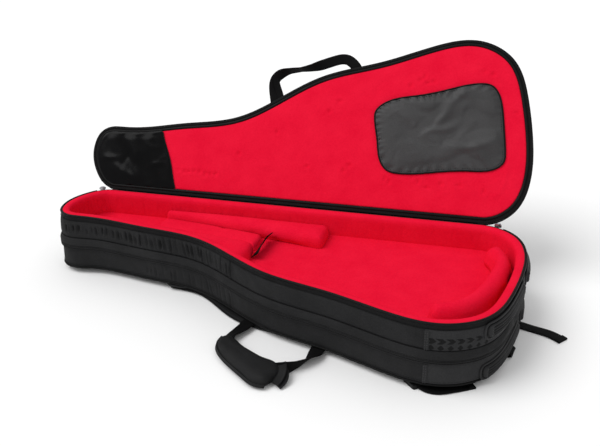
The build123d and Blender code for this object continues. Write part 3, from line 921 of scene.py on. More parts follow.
def bumper(name, body, near, far, middle, face):
    """Rubber bar with lengthwise ribs and rounded ends, in a raised tray."""
    start, end = sorted((arc_at(*near), arc_at(*far)))
    across = np.linspace(-1, 1, 73)
    sections = []
    for s in np.linspace(start, end, round((end - start) / 2)):
        inset = min(s - start, end - s)
        ease = math.sqrt(1 - (1 - min(inset / BUMPER_END, 1)) ** 2)
        v = across * BUMPER_HALF * (0.45 + 0.55 * ease)
        rise = BUMPER_RISE * (0.2 + 0.8 * ease) * (1 - np.abs(across) ** 6) ** 0.5
        grooves = sum(bump(v, at, 1.5) for at in BUMPER_GROOVES)
        off = face + rise - 4.2 * grooves * min(max((inset - 7) / 4, 0), 1)
        front = np.column_stack([0 * v + s, middle + v, off])
        back = [(s, middle + v[-1], face - 0.3), (s, middle + v[0], face - 0.3)]
        sections.append(np.vstack([front, back]))
    piece(name, loft(np.array(sections)), "rubber_black", body, [name], place=on_wall, sharp=35)
    wall = lambda points: on_wall(points + np.array([0, 0, face]))
    centre, length = ((start + end) / 2, middle), end - start
    rings = []
    for grow, corner, rise, radius in ((10, 11, 1.2, 2.2), (3.5, 9, 0.5, 1.1)):
        loop = rounded(centre, (length + grow, 2 * BUMPER_HALF + grow * 0.7), corner, step=3)
        rings.append(tube(raised(loop, rise), radius, 8, True, (0, 0, 1)))
    piece(name.replace("bumper", "bumper_tray"), merged(*rings), "rubber_black", body, place=wall)


def build_bout():
    lower = bout_patch("lower_bout_patch", "lower_section", LOWER_FACE, LOWER_RISE)
    upper = bout_patch("upper_bout_patch", "upper_section", UPPER_FACE, UPPER_RISE)
    dent_shade_shapes()
    # Stitch rows in the lighter grey nylon: real stitches whose light colour is partly a painted
    # highlight of the hem.
    piece("lower_patch_stitching", merged(*lower), "nylon_grey", "lower_section")
    piece("upper_patch_stitching", merged(*upper), "nylon_grey", "upper_section")
    for level, body, face in (("upper", "upper_section", 2.6), ("lower", "lower_section", 0.2)):
        for side, near, far in (("near", (464, -169), (522, -4)), ("far", (526, 36), (510, 158))):
            node = f"{level}_bumper_{side}"
            middle = sum(heights(node)) / 2
            bumper(node, body, near, far, middle, face)


# ---- upper section ---------------------------------------------------------------------
def build_upper_shell():
    relief = pucker_relief(5, (arc_at(-50, -50), arc_at(-500, 62)), FLAP_HIGH, TAPE_LOW, 15, 5.6)
    face = [(0, UPPER_BOTTOM), (0, FLAP_HIGH - 5), (-1.2, FLAP_HIGH + 0.4)]
    face += bulging(FLAP_HIGH + 1.2, TAPE_LOW - 1.4, UPPER_FACE, UPPER_RISE, 26)
    face += [(-0.9, TAPE_LOW - 0.7), (0.1, TAPE_LOW + 1), (0.1, RIM - 4), (-0.6, RIM - 1)]
    wall = wall_band(upright(face, -8), step=1.5, relief=flat_at_hinge(relief, UPPER_FACE - 0.6))
    piece("upper_wall", wall, "nylon_black", "upper_section", ["upper_side_wall"])
    quilt = wrinkles(21, 40, WHOLE_BAG, 60, 10, 0.5)
    divider = slab(inset_loop(8.2, z=UPPER_BOTTOM), UPPER_BOTTOM, heights("divider_panel")[1] - 0.3, 10,
                   (2, 5),
                   bottom=lambda x, y, d: -quilt(x, y) * (d > 6) - dome(d, 3))
    piece("divider", divider, "lining_red", "upper_section", ["divider_panel"])
    dimples = wrinkles(22, 50, WHOLE_BAG, 24, 7, 0.8)
    floor = slab(inset_loop(19, z=FLOOR), heights("divider_panel")[1], FLOOR, 9, (2, 5),
                 top=lambda x, y, d: dimples(x, y) * (d > 8) + 1.5 * np.exp(-d / 6))
    piece("floor_lining", floor, "lining_red", "upper_section", ["compartment_floor"])


def build_wall_lining():
    """Padded lining that rolls over the top of the wall, gathered at the headstock end."""
    low = heights("upper_wall_lining")[0]
    roll = [(-1.8, RIM - 4), (-2.4, RIM - 1.8), (-4, RIM - 0.7), (-8, RIM + 0.1), (-12.5, RIM),
            (-17, RIM - 1.8), (-19.8, RIM - 5), (LINING_FACE, RIM - 12)]
    down = [(LINING_FACE, z) for z in np.linspace(RIM - 18, low + 4, 8)]
    profile = roll + down + [(-19.5, low), (-8.3, low), (-8.3, RIM - 6)]
    gathers = pucker_relief(31, (arc_at(-440, 49), arc_at(-480, 205)), low, RIM, 10, 2.6)
    slack = pucker_relief(32, (0, ROUND), low, RIM, 33, 0.9)

    def relief(s, z, off):
        """Inner face only: creases push towards the wall."""
        inside = np.clip((-off - 17) / 3, 0, 1) * np.clip((RIM - z) / 10, 0, 1)
        marks = gathers(s, z, 0 * off) + slack(s, z, 0 * off)
        return -inside * marks

    lining = wall_band(profile, relief=relief)
    made = piece("wall_lining", lining, "lining_red", "upper_section", ["upper_wall_lining"])
    line, _ = wall_line(low + 1.0, LINING_FACE + 0.4)
    seam = tube(line, 1.2, 6, closed=True)
    piece("floor_seam", seam, "lining_red", "upper_section")


def build_upper_trim():
    start, end = end_arc(BAND_END)
    line, _ = wall_line(RIM - 1.6, 0.4, start, end)
    piece("rim_cord", tube(line, 2.1), "piping_black", "upper_section", ["rim_piping"])
    profile = [(0, TAPE_LOW - 0.5), (1.0, TAPE_LOW), (0.7, TAPE_LOW + 1.6), (0.9, TAPE_HIGH - 2),
               (1.1, TAPE_HIGH),
               (0, TAPE_HIGH + 0.5)]
    band = wall_band(profile, start, end)
    coil = tube(wall_line(TAPE_HIGH + 1.2, 0.7, start, end)[0], 1.0, 6)
    piece("rim_zip", merged(band, coil), "zip_tape", "upper_section", ["rim_zip_tape"])
    low, high = heights("mid_zip_upper_tape")
    tape = wall_band([(0, low), (0.9, low), (0.7, high), (0, high)], start, end)
    coil = tube(wall_line(low + 0.5, 0.8, start, end)[0], 1.0, 6)
    piece("middle_zip_upper", merged(tape, coil), "zip_tape", "upper_section", ["mid_zip_upper_tape"])
    rows = [wall_stitches(TAPE_LOW + 0.9, 1.3, start, end)]
    piece("upper_stitching", merged(*rows), "webbing_black", "upper_section")


def build_mid_flap():
    """Weather flap over the middle zip, sewn along its top and hemmed below."""
    start, end = end_arc(FLAP_END)
    share = np.linspace(0, 1, 57)
    z = FLAP_LOW + (FLAP_HIGH - FLAP_LOW) * share
    grooves = [FLAP_LOW + 3.4, FLAP_LOW + 7.6, FLAP_LOW + 10.4]
    off = 1.4 + 4.0 * np.sin(math.pi * np.clip(share * 0.94 + 0.05, 0, 1)) ** 0.6
    off -= 1.3 * sum(bump(z, at, 0.7) for at in grooves)
    off += 0.8 * bump(z, FLAP_LOW + 1.0, 1.3)
    inner = [(0.1, FLAP_HIGH), (0.1, FLAP_HIGH - 4), (1.3, FLAP_HIGH - 4.5), (1.0, FLAP_LOW)]
    profile = list(zip(off, z)) + inner
    slack = wrinkles(41, 110, (start, end, FLAP_LOW + 10, FLAP_HIGH), 34, 3.4, 0.8, (-10, 10))
    band = wall_band(profile, start, end, relief=lambda s, h, o: np.where(o > 2, slack(s, h), 0))
    piece("flap", band, "nylon_black", "upper_section", ["mid_flap"])
    rows = [wall_stitches(at, 4.0, start, end) for at in grooves]
    piece("flap_stitching", merged(*rows), "webbing_black", "upper_section")


# ---- padding in the compartment --------------------------------------------------------
def node_loop(node):
    """A node's own plan outline, evenly spaced."""
    return reclosed(node_outline(node), 4.0)


def softened(loop, times):
    """A closed loop with its corners eased."""
    for _ in range(times):
        loop = 0.5 * loop + 0.25 * (np.roll(loop, 1, 0) + np.roll(loop, -1, 0))
    return loop


def build_cradles():
    """Foam blocks that hold the guitar's neck, covered in the lining's fleece."""
    for node, crown, seed in (("neck_cradle_near", 3.0, 51), ("neck_cradle_far", 3.0, 52),
                              ("neck_cradle_base", 1.0, 53)):
        low, high = heights(node)
        loop = softened(shrink(node_loop(node), 1.2), 14)
        area = (*(loop.min(0)[[0]]), *(loop.max(0)[[0]]), *(loop.min(0)[[1]]), *(loop.max(0)[[1]]))
        soft = wrinkles(seed, 14, area, 40, 9, 1.2)

        def top(x, y, d, crown=crown, soft=soft):
            return dome(d, 14, crown, 60) + soft(x, y) * np.clip(d / 12, 0, 1)

        block_shape = slab(loop, low, high - 2, 7, (1.5, 3.5, 6, 9), top, bulge=0.8)
        made = piece(node.replace("neck_cradle", "cradle"), block_shape, "lining_red", "upper_section",
                     [node],
                     inflate=dict(pressure=2.0, cap=3.0, low=low))


def build_neck_strap():
    """Hook strap that stands on its edge along the end of the near block and over to the far one."""
    low, high = [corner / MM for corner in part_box("neck_strap")]
    y = np.linspace(low.y + 2, high.y - 2, 14)
    share = np.linspace(0, 1, 14)
    middle = (low.x + high.x) / 2
    path = spline(np.column_stack([middle - 7 + 5 * share, y,
                                   low.z + 11 + 7 * np.sin(share * math.pi * 0.7)]))
    lean = twist(path, [(0.75, 0, 0.66), (0.55, 0, 0.83), (0.5, 0, 0.86), (0.75, 0, 0.66)])
    band = ribbon(path, lean, 24, 1.6)
    hook = ribbon(path[len(path) // 2 :] + np.array([1.4, 0, 0.5]), lean[len(path) // 2 :], 17, 1.2)
    piece("neck_hold_strap", merged(band, hook), "webbing_black", "upper_section", ["neck_strap"])


CUSHION_STEP, CUSHION_ROUND = 4.0, 14
CUSHION_END, CUSHION_HALF = 2, 17.5  # half its width at the blunt ends, and what it gains from there


def build_cushion():
    """Crescent cushion round the lower bout, sewn from two panels and firmly filled."""
    low, high = heights("bout_cushion")
    line = spline([(361, -130), (384, -124), (420, -101), (456, -40), (479, 42), (478, 100),
                   (459, 138)], CUSHION_STEP)
    tangent = directions(line)
    side = leftward(tangent)
    walked = np.arange(len(line)) * CUSHION_STEP
    to_end = np.minimum(walked, walked[::-1])
    half = CUSHION_END + CUSHION_HALF * np.sqrt(1 - (1 - np.minimum(to_end / CUSHION_ROUND, 1)) ** 2)
    loop = np.vstack([line + side * half[:, None], (line - side * half[:, None])[::-1]])
    loop = softened(reclosed(loop, 4), 2)
    soft = wrinkles(61, 22, (350, 500, -140, 140), 22, 6, 0.9)
    body = slab(loop, low, high + 2, 5, (1.2, 3, 6, 10), bulge=2.5,
                top=lambda x, y, d: dome(d, 15, 9.0, 19) + soft(x, y) * np.clip(d / 8, 0, 1),
                bottom=lambda x, y, d: -dome(d, 4))
    made = piece("crescent_cushion", body, "lining_red", "upper_section", ["bout_cushion"],
                 inflate=dict(pressure=3.0, cap=4.0, low=low))
    corner_low, corner_high = heights("cushion_hook_tabs")
    tabs = []
    for first, last in (((492, -125), (462, -170)), ((527, 60), (523, 15))):
        a, b = arc_at(*first), arc_at(*last)
        profile = [(-20.8, corner_low), (-20.8, corner_high), (-22.6, corner_high), (-22.6, corner_low)]
        tabs.append(wall_band(profile, min(a, b), max(a, b)))
    piece("cushion_hook_strips", merged(*tabs), "webbing_black", "upper_section", ["cushion_hook_tabs"])


# ---- hinges ----------------------------------------------------------------------------
def build_hinges():
    """Cloth hinges: one between the two sections and one between the rim and the lid."""
    x = np.arange(HINGE_END + 4, HINGE_START - 4, 6.0)
    strip_rows = np.linspace(FLAP_LOW + 1, FLAP_HIGH + 4, 13)
    y = HINGE_Y + 1.6 - 2.2 * bump(strip_rows, LOWER_TOP - 8, 9) * (strip_rows < LOWER_TOP)
    profile = list(zip(y, strip_rows)) + [(a - 1.0, z) for a, z in zip(y[::-1], strip_rows[::-1])]
    section = np.array([[(at, a, z) for a, z in profile] for at in x])
    strip = piece("section_hinge_cloth", loft(section), "nylon_black", None, ["section_hinge_tape"])
    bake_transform(strip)
    base_side = [(HINGE_Y + 0.9, z) for z in np.linspace(TAPE_LOW - 6, RIM - 2.5, 7)]
    start = np.array([HINGE_Y + 1.6, RIM - 1.0])
    lid_side = [start + np.array([LID_OUT[1], LID_OUT[2]]) * t + np.array([LID_UP[1], LID_UP[2]]) * -0.6
                for t in np.linspace(1.5, 17, 9)]
    line = even(np.array(base_side + [tuple(p) for p in lid_side]), 1.5)
    out = -leftward(directions(line))
    ring = np.vstack([line, (line + out * 1.2)[::-1]])
    section = np.array([[(at, a, z) for a, z in ring] for at in x])
    strip = piece("lid_hinge_cloth", loft(section), "nylon_black", None, ["lid_hinge_tape"])
    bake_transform(strip)


# ---- lid -------------------------------------------------------------------------------
LINING_LOW, LINING_HIGH = lid_heights("lid_lining")
SHELL_LOW, SHELL_HIGH = lid_heights("lid_shell")
GUARD_LOW, GUARD_HIGH = lid_heights("headstock_guard")
POCKET_LOW = lid_heights("bridge_guard")[0]


def lid_stations(start, end):
    """Arc lengths along a stretch of the lid's edge, or all round it."""
    if start is None:
        return np.arange(0, ROUND, STEP)
    return np.linspace(start, end, round((end - start) / STEP))


def lid_line(inset, t, start=None, end=None):
    """Line along the lid's edge, in lid coordinates."""
    s = lid_stations(start, end)
    plan = around(OUTLINE, s) - around(OUTWARD, s) * inset
    return np.column_stack([plan, 0 * s + t]), np.column_stack([around(OUTWARD, s), 0 * s])


def lid_band(profile, start=None, end=None):
    """Band round the lid; the profile is (inset, height over the rim)."""
    profile = [(-inset, t) for inset, t in profile]
    profile = np.asarray(profile, float)
    s, t = np.meshgrid(lid_stations(start, end), profile[:, 1], indexing="ij")
    off = np.broadcast_to(profile[:, 0], s.shape)
    plan = around(OUTLINE, s.ravel()) + around(OUTWARD, s.ravel()) * off.reshape(-1, 1)
    sections = np.concatenate([plan.reshape(*s.shape, 2), t[..., None]], -1)
    return loft(sections, start is None)


def build_lid_shell():
    slack = wrinkles(71, 34, (-470, 480, -160, 190), 70, 11, 1.1)
    loop = inset_loop(2.2)
    body = slab(loop, SHELL_LOW, SHELL_HIGH, 9, (1, 2.5, 5, 8, 12), bulge=1.2,
                top=lambda x, y, d: dome(d, 8, 1.6, 60) + slack(x, y) * np.clip(d / 16, 0, 1))
    piece("lid_panel", body, "nylon_black", "lid", ["lid_shell"], place=on_lid)
    line, _ = lid_line(1.6, SHELL_HIGH - 5)
    cord = tube(line, 2.1, closed=True)
    piece("lid_cord", cord, "piping_black", "lid", place=on_lid)
    start, end = end_arc(BAND_END)
    low, high = lid_heights("lid_zip_tape")
    tape = lid_band([(1.5, low), (0.5, low), (0.6, high), (1.5, high)], start, end)
    coil = tube(lid_line(0.9, low - 0.6, start, end)[0], 1.1, 6)
    piece("lid_zip", merged(tape, coil), "zip_tape", "lid", ["lid_zip_tape"], place=on_lid)


def build_lid_border():
    """Two parallel bands round the inside of the lid: turned zip tape, then piping."""
    outer = lid_band([(1.4, 4.5), (1.2, 1.8), (2.4, 0.9), (5.6, 0.7), (7.6, 1.2), (8.0, 2.6),
                      (8.0, 4.5)])
    angle = np.linspace(0, 2 * math.pi, 12, endpoint=False)
    inner = lid_band([(11.4 + 3.4 * math.cos(a), 2.3 + 2.1 * math.sin(a)) for a in angle])
    backing = lid_band([(7.5, 4.8), (7.5, 2.8), (15, 2.8), (15, 4.8)])
    piece("lid_border", merged(outer, backing), "zip_tape", "lid", ["lid_binding"], place=on_lid)
    piece("lid_border_cord", inner, "piping_black", "lid", place=on_lid)
    line, _ = lid_line(6.4, 0.75)
    piece("lid_stitching", stitches(line, (0, 0, -1)), "webbing_black", "lid", place=on_lid)


BRIDGE_GUARD = [(171, -28), (187, -47), (264, -71), (337, -91), (398, -106), (426, -102), (441, -85),
                (450, -60), (459, -10), (467, 45), (465, 70), (450, 84), (392, 94), (313, 104),
                (240, 112),
                (211, 106), (195, 88), (182, 39), (171, -8)]


def tufts(x, y):
    """Small puckers where the lining is caught down, as a depth."""
    rng = np.random.default_rng(81)
    spots = [(-292 + 14 * k + rng.uniform(-3, 3), 148 + rng.uniform(-2, 2)) for k in range(8)]
    around_pocket = [(262, -104), (275, -112), (284, -101), (300, -110), (398, -128), (420, -124),
                     (240, -90),
                     (480, -40), (205, 128), (222, 134), (262, 122), (290, 128), (310, 136), (330, 125),
                     (370, 132),
                     (432, 140), (110, 118), (128, 108), (30, 110), (-60, 40), (-150, 90), (60, -20),
                     (84, -44)]
    spots += [(a + rng.uniform(-6, 6), b + rng.uniform(-6, 6)) for a, b in around_pocket]
    total = 0 * x
    for a, b in spots:
        stretch = rng.uniform(0.7, 1.6)
        u, v = (x - a) / stretch, (y - b) * stretch
        total += 3.4 * np.exp(-(u**2 + v**2) / 18) - 0.6 * np.exp(-((np.hypot(u, v) - 9) ** 2) / 16)
    return total


GUARD_EDGE = [(-290, 199), (-301, 172), (-312, 136), (-333, 88), (-346, 54), (-350, 20)]


def guard_edge(y):
    """Where the headstock guard ends, as x over y."""
    edge = spline(GUARD_EDGE, 4)[::-1]
    return np.interp(y, edge[:, 1], edge[:, 0])


def build_lid_lining():
    loop = inset_loop(LID_EDGE)
    slack = wrinkles(82, 60, (-280, 490, -150, 190), 34, 7, 0.9)
    pocket = spline(BRIDGE_GUARD, 6, closed=True)

    def relief(x, y, d):
        gap, under = to_edge(np.column_stack([x, y]), pocket)
        soft = np.clip(d / 14, 0, 1) * np.clip((x - guard_edge(y) - 4) / 14, 0, 1)
        soft *= np.where(under, 0, np.clip((gap - 3) / 8, 0, 1))
        ridge = 1.3 * bump(d, 38, 3.0) * (x > 380) * (y < 150)
        return dome(d, 4) * -0.6 + soft * (tufts(x, y) + slack(x, y)) - ridge * soft - 1.2 * soft

    body = slab(loop, LINING_LOW + 0.8, LINING_HIGH, 4.2, (2, 4, 7), bottom=relief)
    piece("lid_lining_cloth", body, "lining_red", "lid", ["lid_lining"], place=on_lid)


def build_headstock_guard():
    """Glossy vinyl sewn over the headstock end, with soft folds."""
    edge = spline(GUARD_EDGE, 4)
    loop = inset_loop(LID_EDGE, 4)
    kept = loop[loop[:, 0] < guard_edge(loop[:, 1]) - 1]
    low, high = kept[-1, 1], kept[0, 1]
    between = edge[(edge[:, 1] > min(low, high) + 2) & (edge[:, 1] < max(low, high) - 2)]
    if np.linalg.norm(between[0] - kept[-1]) > np.linalg.norm(between[-1] - kept[-1]):
        between = between[::-1]
    loop = even(np.vstack([kept, between, kept[:1]]), 4, closed=True)
    folds = wrinkles(91, 16, (-500, -320, 60, 190), 55, 12, 2.2, (20, 70))
    ripples = wrinkles(92, 26, (-500, -300, 50, 190), 22, 6, 0.9)

    def relief(x, y, d):
        """Folds stand off the lining, and the edge is pulled in at its stitches."""
        soft = np.clip(d / 18, 0, 1)
        edge_ripple = 0.9 * (1 + np.sin(x / 7.5)) * np.exp(-d / 10) * np.clip(d / 3, 0, 1)
        return -np.clip(1.4 - folds(x, y) - ripples(x, y), 0.1, 6) * soft - edge_ripple

    sheet = slab(loop, GUARD_LOW - 0.6, GUARD_HIGH - 0.6, 5, (1.5, 4, 7), relief, relief)
    made = piece("headstock_guard_sheet", sheet, "gloss_guard", "lid", ["headstock_guard"],
                 place=on_lid)
    trim = spline(raised(between, GUARD_LOW - 0.6), 3)
    hem = merged(tube(trim, 1.1, 6), stitches(trim + np.array([-4, 0, -0.6]), (0, 0, -1)))
    piece("headstock_guard_hem", hem, "piping_black", "lid", place=on_lid)


def build_bridge_guard():
    """Flat pocket of grey nylon, gathered into a piped edge."""
    loop = spline(BRIDGE_GUARD, 4, closed=True)
    folds = wrinkles(101, 26, (190, 450, -90, 100), 52, 12, 6.4, (-60, 40))
    creases = wrinkles(102, 60, (180, 460, -90, 100), 16, 4, 1.2)

    def relief(x, y, d):
        turn = np.arctan2(y, (x - 320) * 0.6)
        gather = 1.4 * np.sin(turn * 46 + 2 * np.sin(turn * 7)) * bump(d, 7, 6)
        calm = np.clip(1.2 - bump(x, 450, 40), 0, 1)
        slack = np.maximum(2.6 + folds(x, y) + creases(x, y), 0) * np.clip(d / 16, 0, 1)
        return -slack - gather * calm - 1.6 * np.clip(d / 26, 0, 1) ** 0.7

    body = slab(loop, POCKET_LOW + 2.6, LINING_LOW + 1, 4.5, (1, 2.5, 4.5, 7, 10, 13), bottom=relief)
    made = piece("bridge_guard_pocket", body, "nylon_grey", "lid", ["bridge_guard"], place=on_lid)
    rim = raised(shrink(loop, 0.5), POCKET_LOW + 2.2)
    edge = tube(rim, 1.9, 8, closed=True)
    line = raised(shrink(loop, 5.5), POCKET_LOW + 1.6)
    piece("bridge_guard_edge", merged(edge, stitches(line, (0, 0, -1))), "piping_black", "lid",
          place=on_lid)


POCKET_ZIP_Y = 168


def build_front_pocket():
    """Flat outer pocket with a straight zip, seen when the bag is shut."""
    loop = node_outline_on_lid("front_pocket")
    slack = wrinkles(111, 40, (70, 470, -120, 150), 60, 12, 1.6)
    high = lid_heights("front_pocket")[1]
    body = slab(loop, SHELL_HIGH - 1, high + 0.5, 8, (1.5, 4, 7),
                top=lambda x, y, d: dome(d, 2.5, 2.2, 50) + slack(x, y) * np.clip(d / 15, 0, 1))
    piece("front_pocket_panel", body, "nylon_patch", "lid", ["front_pocket"], place=on_lid)
    rim = raised(shrink(loop, 0.5), SHELL_HIGH + 1.4)
    seam = raised(shrink(loop, 6), high + 0.9)
    trim = merged(tube(rim, 1.8, 8, closed=True), stitches(seam, (0, 0, 1)))
    piece("front_pocket_piping", trim, "piping_black", "lid", place=on_lid)
    x0, x1 = node_span_on_lid("front_pocket_zip")
    tape = slab(rounded(((x0 + x1) / 2, POCKET_ZIP_Y), (x1 - x0, 20), 3), SHELL_HIGH + 0.2,
                SHELL_HIGH + 1.5, 5, (1.5, 4),
                top=lambda x, y, d: dome(d, 0.8))
    x = np.arange(x0 + 6, x1 - 6, 2.2)
    teeth = [block((at, POCKET_ZIP_Y + 0.4 * (-1) ** k, SHELL_HIGH + 2.0), (1.3, 4.6, 1.2), 0.5) for k,
             at in enumerate(x)]
    lines = [stitches([(x0 + 3, y, SHELL_HIGH + 1.8), (x1 - 3, y, SHELL_HIGH + 1.8)],
                      (0, 0, 1)) for y in (POCKET_ZIP_Y - 7, POCKET_ZIP_Y + 7)]
    piece("front_pocket_zip_tape", merged(tape, *teeth, *lines), "zip_tape", "lid",
          ["front_pocket_zip"], place=on_lid)


def lid_plan(node):
    """A lid node's vertices in lid coordinates."""
    away = vertices(node) - np.array([0, HINGE_Y, RIM])
    return np.column_stack([away[:, 0], HINGE_Y - away @ LID_UP, away @ LID_OUT])


def node_span_on_lid(node):
    x = lid_plan(node)[:, 0]
    return x.min(), x.max()


def node_outline_on_lid(node):
    """The front pocket's loop: the outline moved inward, cut by its straight sides."""
    low, high = lid_plan(node).min(0), lid_plan(node).max(0)
    loop = inset_loop(42, 4)
    loop = loop[(loop[:, 0] > low[0] + 2) & (loop[:, 1] < high[1] - 2)]
    corners = [(low[0], loop[-1, 1] + 4), (low[0], high[1] - 8), (low[0] + 8, high[1]),
               (loop[0, 0] - 10, high[1])]
    return even(np.vstack([loop, corners, loop[:1]]), 4, closed=True)


# ---- handles ---------------------------------------------------------------------------
def foot_patch(x, y, turn, size, z, up):
    """Webbing patch with a box of stitches and a cross in it."""
    w, h = size
    loop = rounded((x, y), size, 2.5, turn, 2.5)
    low, high = sorted((z, z + up * 1.8))
    patch = slab(loop, low, high, 6, (1.5,))
    c, s = math.cos(math.radians(turn)), math.sin(math.radians(turn))
    corners = [(-w / 2 + 4, -h / 2 + 4), (w / 2 - 4, -h / 2 + 4), (w / 2 - 4, h / 2 - 4),
               (-w / 2 + 4, h / 2 - 4)]
    places = [(x + a * c - b * s, y + a * s + b * c, z + up * 2.0) for a, b in corners]
    lines = [(0, 1), (1, 2), (2, 3), (3, 0), (0, 2), (1, 3)]
    return merged(patch, *[stitches(np.array([places[a], places[b]]), (0, 0, up)) for a, b in lines])


GRIP_LOOP = [(-45, -166), (-40, -186), (-20, -211), (6, -233), (38, -257), (66, -274), (82, -273),
             (92, -256),
             (101, -236), (90, -214), (62, -202), (30, -186), (2, -168), (-22, -152), (-38, -152)]


def build_carry_handle():
    """Two webbing legs that run into a padded grip, wrapped and closed along its far edge."""
    left = spline([(-9, -68, 10.6), (-14, -92, 9.5), (-25, -118, 8.5), (-33, -142, 9.5),
                   (-30, -160, 12), (-12, -176, 13)])
    across = twist(left, [(1, -0.12, 0), (1, -0.15, 0.05), (1, 0.1, 0.2), (0.9, 0.5, 0.3),
                          (0.7, 0.8, 0.1), (0.5, 0.9, 0)])
    right = spline([(151, -128, 10.6), (150, -152, 10), (140, -180, 9.5), (124, -205, 10),
                    (106, -222, 12), (84, -236, 13)])
    turn = twist(right, [(1, 0.3, 0), (1, 0.25, 0.1), (0.8, 0.2, 0.7), (0.45, 0.1, 0.9),
                         (0.4, 0.5, 0.75), (0.5, 0.85, 0.2)])
    legs = merged(ribbon(left, across, 30, 2.0), ribbon(right, turn, 30, 2.0))
    piece("carry_handle_straps", legs, "webbing_black", "carry_handle", ["carry_handle_webbing"])
    low, high = heights("carry_handle_grip")
    loop = spline(GRIP_LOOP, 3.5, closed=True)
    soft = wrinkles(121, 18, (-40, 100, -270, -150), 30, 6, 1.0, (-50, -10))
    body = slab(loop, low + 3.5, high - 4, 4, (1, 2.5, 5, 8, 12), bulge=2,
                top=lambda x, y, d: dome(d, 11, 3, 24) + soft(x, y) * np.clip(d / 8, 0, 1),
                bottom=lambda x, y, d: -dome(d, 7))
    made = piece("carry_handle_pad", body, "grip_nylon", "carry_handle", ["carry_handle_grip"],
                 inflate=dict(pressure=2.0, cap=2.5, low=low))
    bound = spline([(-43, -153, 15), (-47, -170, 13), (-42, -188, 12), (-22, -213, 11), (4, -235, 10.5),
                    (36, -259, 10), (65, -276, 9.5), (84, -276, 9)])
    edge = ribbon(bound, (0.25, 0.35, 1), 7, 3.2)
    outer = spline([(98, -262, 8), (104, -248, 14), (103, -232, 20), (97, -217, 21)])
    inner = spline([(106, -265, 5), (113, -252, 9), (112, -238, 14), (105, -226, 17)])
    flaps = merged(ribbon(outer, (0.8, -0.45, 0.1), 24, 2.2), ribbon(inner, (0.8, -0.5, -0.1), 17, 2.0))
    piece("carry_handle_wrap_edge", merged(edge, flaps), "grip_nylon", "carry_handle")
    seam = spline([(-36, -160, 20), (-38, -176, 18), (-20, -206, 17), (8, -228, 16), (60, -266, 14.5)])
    piece("carry_handle_wrap_stitching", stitches(seam, (-0.4, -0.5, 0.75)), "webbing_black",
          "carry_handle")
    feet = [foot_patch(x, y, turn, (38, 34), BASE - 0.2, -1) for x, y,
            turn in ((0, -52, -14), (143, -106, -17))]
    piece("carry_handle_feet", merged(*feet), "webbing_black", "lower_section",
          ["carry_handle_anchors"])


def build_lid_handle():
    """Webbing loop on the lid's zipped edge, folded at one foot and twisted over the top."""
    line = [(-71, -27, 10), (-76, -48, 11), (-82, -72, 12), (-81, -96, 13), (-62, -113, 13),
            (-30, -121, 13),
            (14, -131, 13), (54, -146, 13), (86, -152, 13), (106, -140, 12), (116, -122, 11),
            (112, -112, 10)]
    path = spline(line, 2.5)
    across = twist(path, [(1, -0.15, 0), (1, -0.2, 0.1), (0.95, 0, 0.35), (0.7, 0.5, 0.5),
                          (0.1, 0.25, 0.97),
                          (0, 0.1, 1), (-0.1, 0.45, 0.8), (-0.25, 0.95, 0.3), (-0.15, 1, 0.15),
                          (-0.7, 0.7, 0.2), (-1, 0.1, 0.2), (-1, 0, 0)])
    band = ribbon(path, across, 24, 1.8)
    fold = spline([(-58, -42, 9), (-66, -62, 10), (-76, -84, 11.5), (-80, -98, 12.5)], 2.5)
    tuck = ribbon(fold, twist(fold, [(1, 0.1, 0.1), (1, 0.1, 0.1), (0.95, 0.2, 0.3), (0.9, 0.4, 0.4)]),
                  15, 1.6)
    piece("lid_handle_strap", merged(band, tuck), "webbing_black", "lid_handle", ["lid_handle_webbing"],
          place=on_lid)
    feet = [foot_patch(x, y, turn, (28, 32), SHELL_HIGH - 0.3, 1) for x, y,
            turn in ((-70, -10, -10), (106, -106, -26))]
    piece("lid_handle_feet", merged(*feet), "webbing_black", "lid", ["lid_handle_anchors"],
          place=on_lid)


# ---- back of the bag -------------------------------------------------------------------
def build_back_pads():
    """Mesh-covered pads with sewn channels, which the bag rests on."""
    pads = {"neck_end_pad": ((-385, 122), (188, 90), -6), "lumbar_pad": ((80, 52), (218, 110), 0),
            "bout_pad": ((330, -10), (148, 98), 0)}
    for node, (centre, size, turn) in pads.items():
        low, high = heights(node)
        loop = rounded(centre, size, 23, turn, 4)
        c, s = math.cos(math.radians(turn)), math.sin(math.radians(turn))

        def channels(x, y, d, centre=centre, size=size, c=c, s=s):
            u = (x - centre[0]) * c + (y - centre[1]) * s
            grooves = sum(bump(u, k * size[0] / 8, 2.4) for k in (-1.2, 1.2))
            return -dome(d, 7) + 3.4 * grooves * np.clip((d - 8) / 8, 0, 1)

        body = slab(loop, low, high - 0.2, 5, (1.5, 3.5, 6), bottom=channels)
        made = piece(node + "_cushion", body, "mesh_pad", "lower_section", [node])
        rim = raised(loop, high - 3)
        piece(node + "_piping", tube(rim, 1.8, 8, closed=True), "piping_black", "lower_section")


STRAPS = {
    "near": [(-230, 52), (-150, 37), (-110, 14), (-70, -18), (-32, -44), (40, -67), (140, -86),
             (238, -97)],
    "far": [(-230, 128), (-150, 150), (-50, 165), (60, 166), (160, 153), (238, 130)],
}
WEB_WIDTH, WEB_THICKNESS = 25.5, 1.8
PAD_HALF, PAD_LOW, PAD_HIGH = 29.5, 0.3, 9.3  # padded strap: half its width, and its two faces
PAD_SEAM = 4.8  # height of its edge seam
WEBS = {
    "near": [(238, -97, 6), (262, -109, 5.2), (296, -134, 4.4), (331, -168, 4.6), (350, -187, 7)],
    "far": [(238, 130, 6), (280, 121, 4.8), (330, 112, 4.2), (385, 100, 4.4), (432, 88, 7)],
}
TAILS = {
    "near": [(352, -190, 7), (367, -200, 3), (385, -203, 1.6), (410, -194, 2.6), (430, -182, 1.5),
             (450, -170, 1.6)],
    "far": [(438, 87, 7), (452, 83, 3), (480, 72, 1.6), (520, 54, 2.2), (560, 40, 1.5), (590, 28, 2.4),
            (613, 11, 1.4)],
}


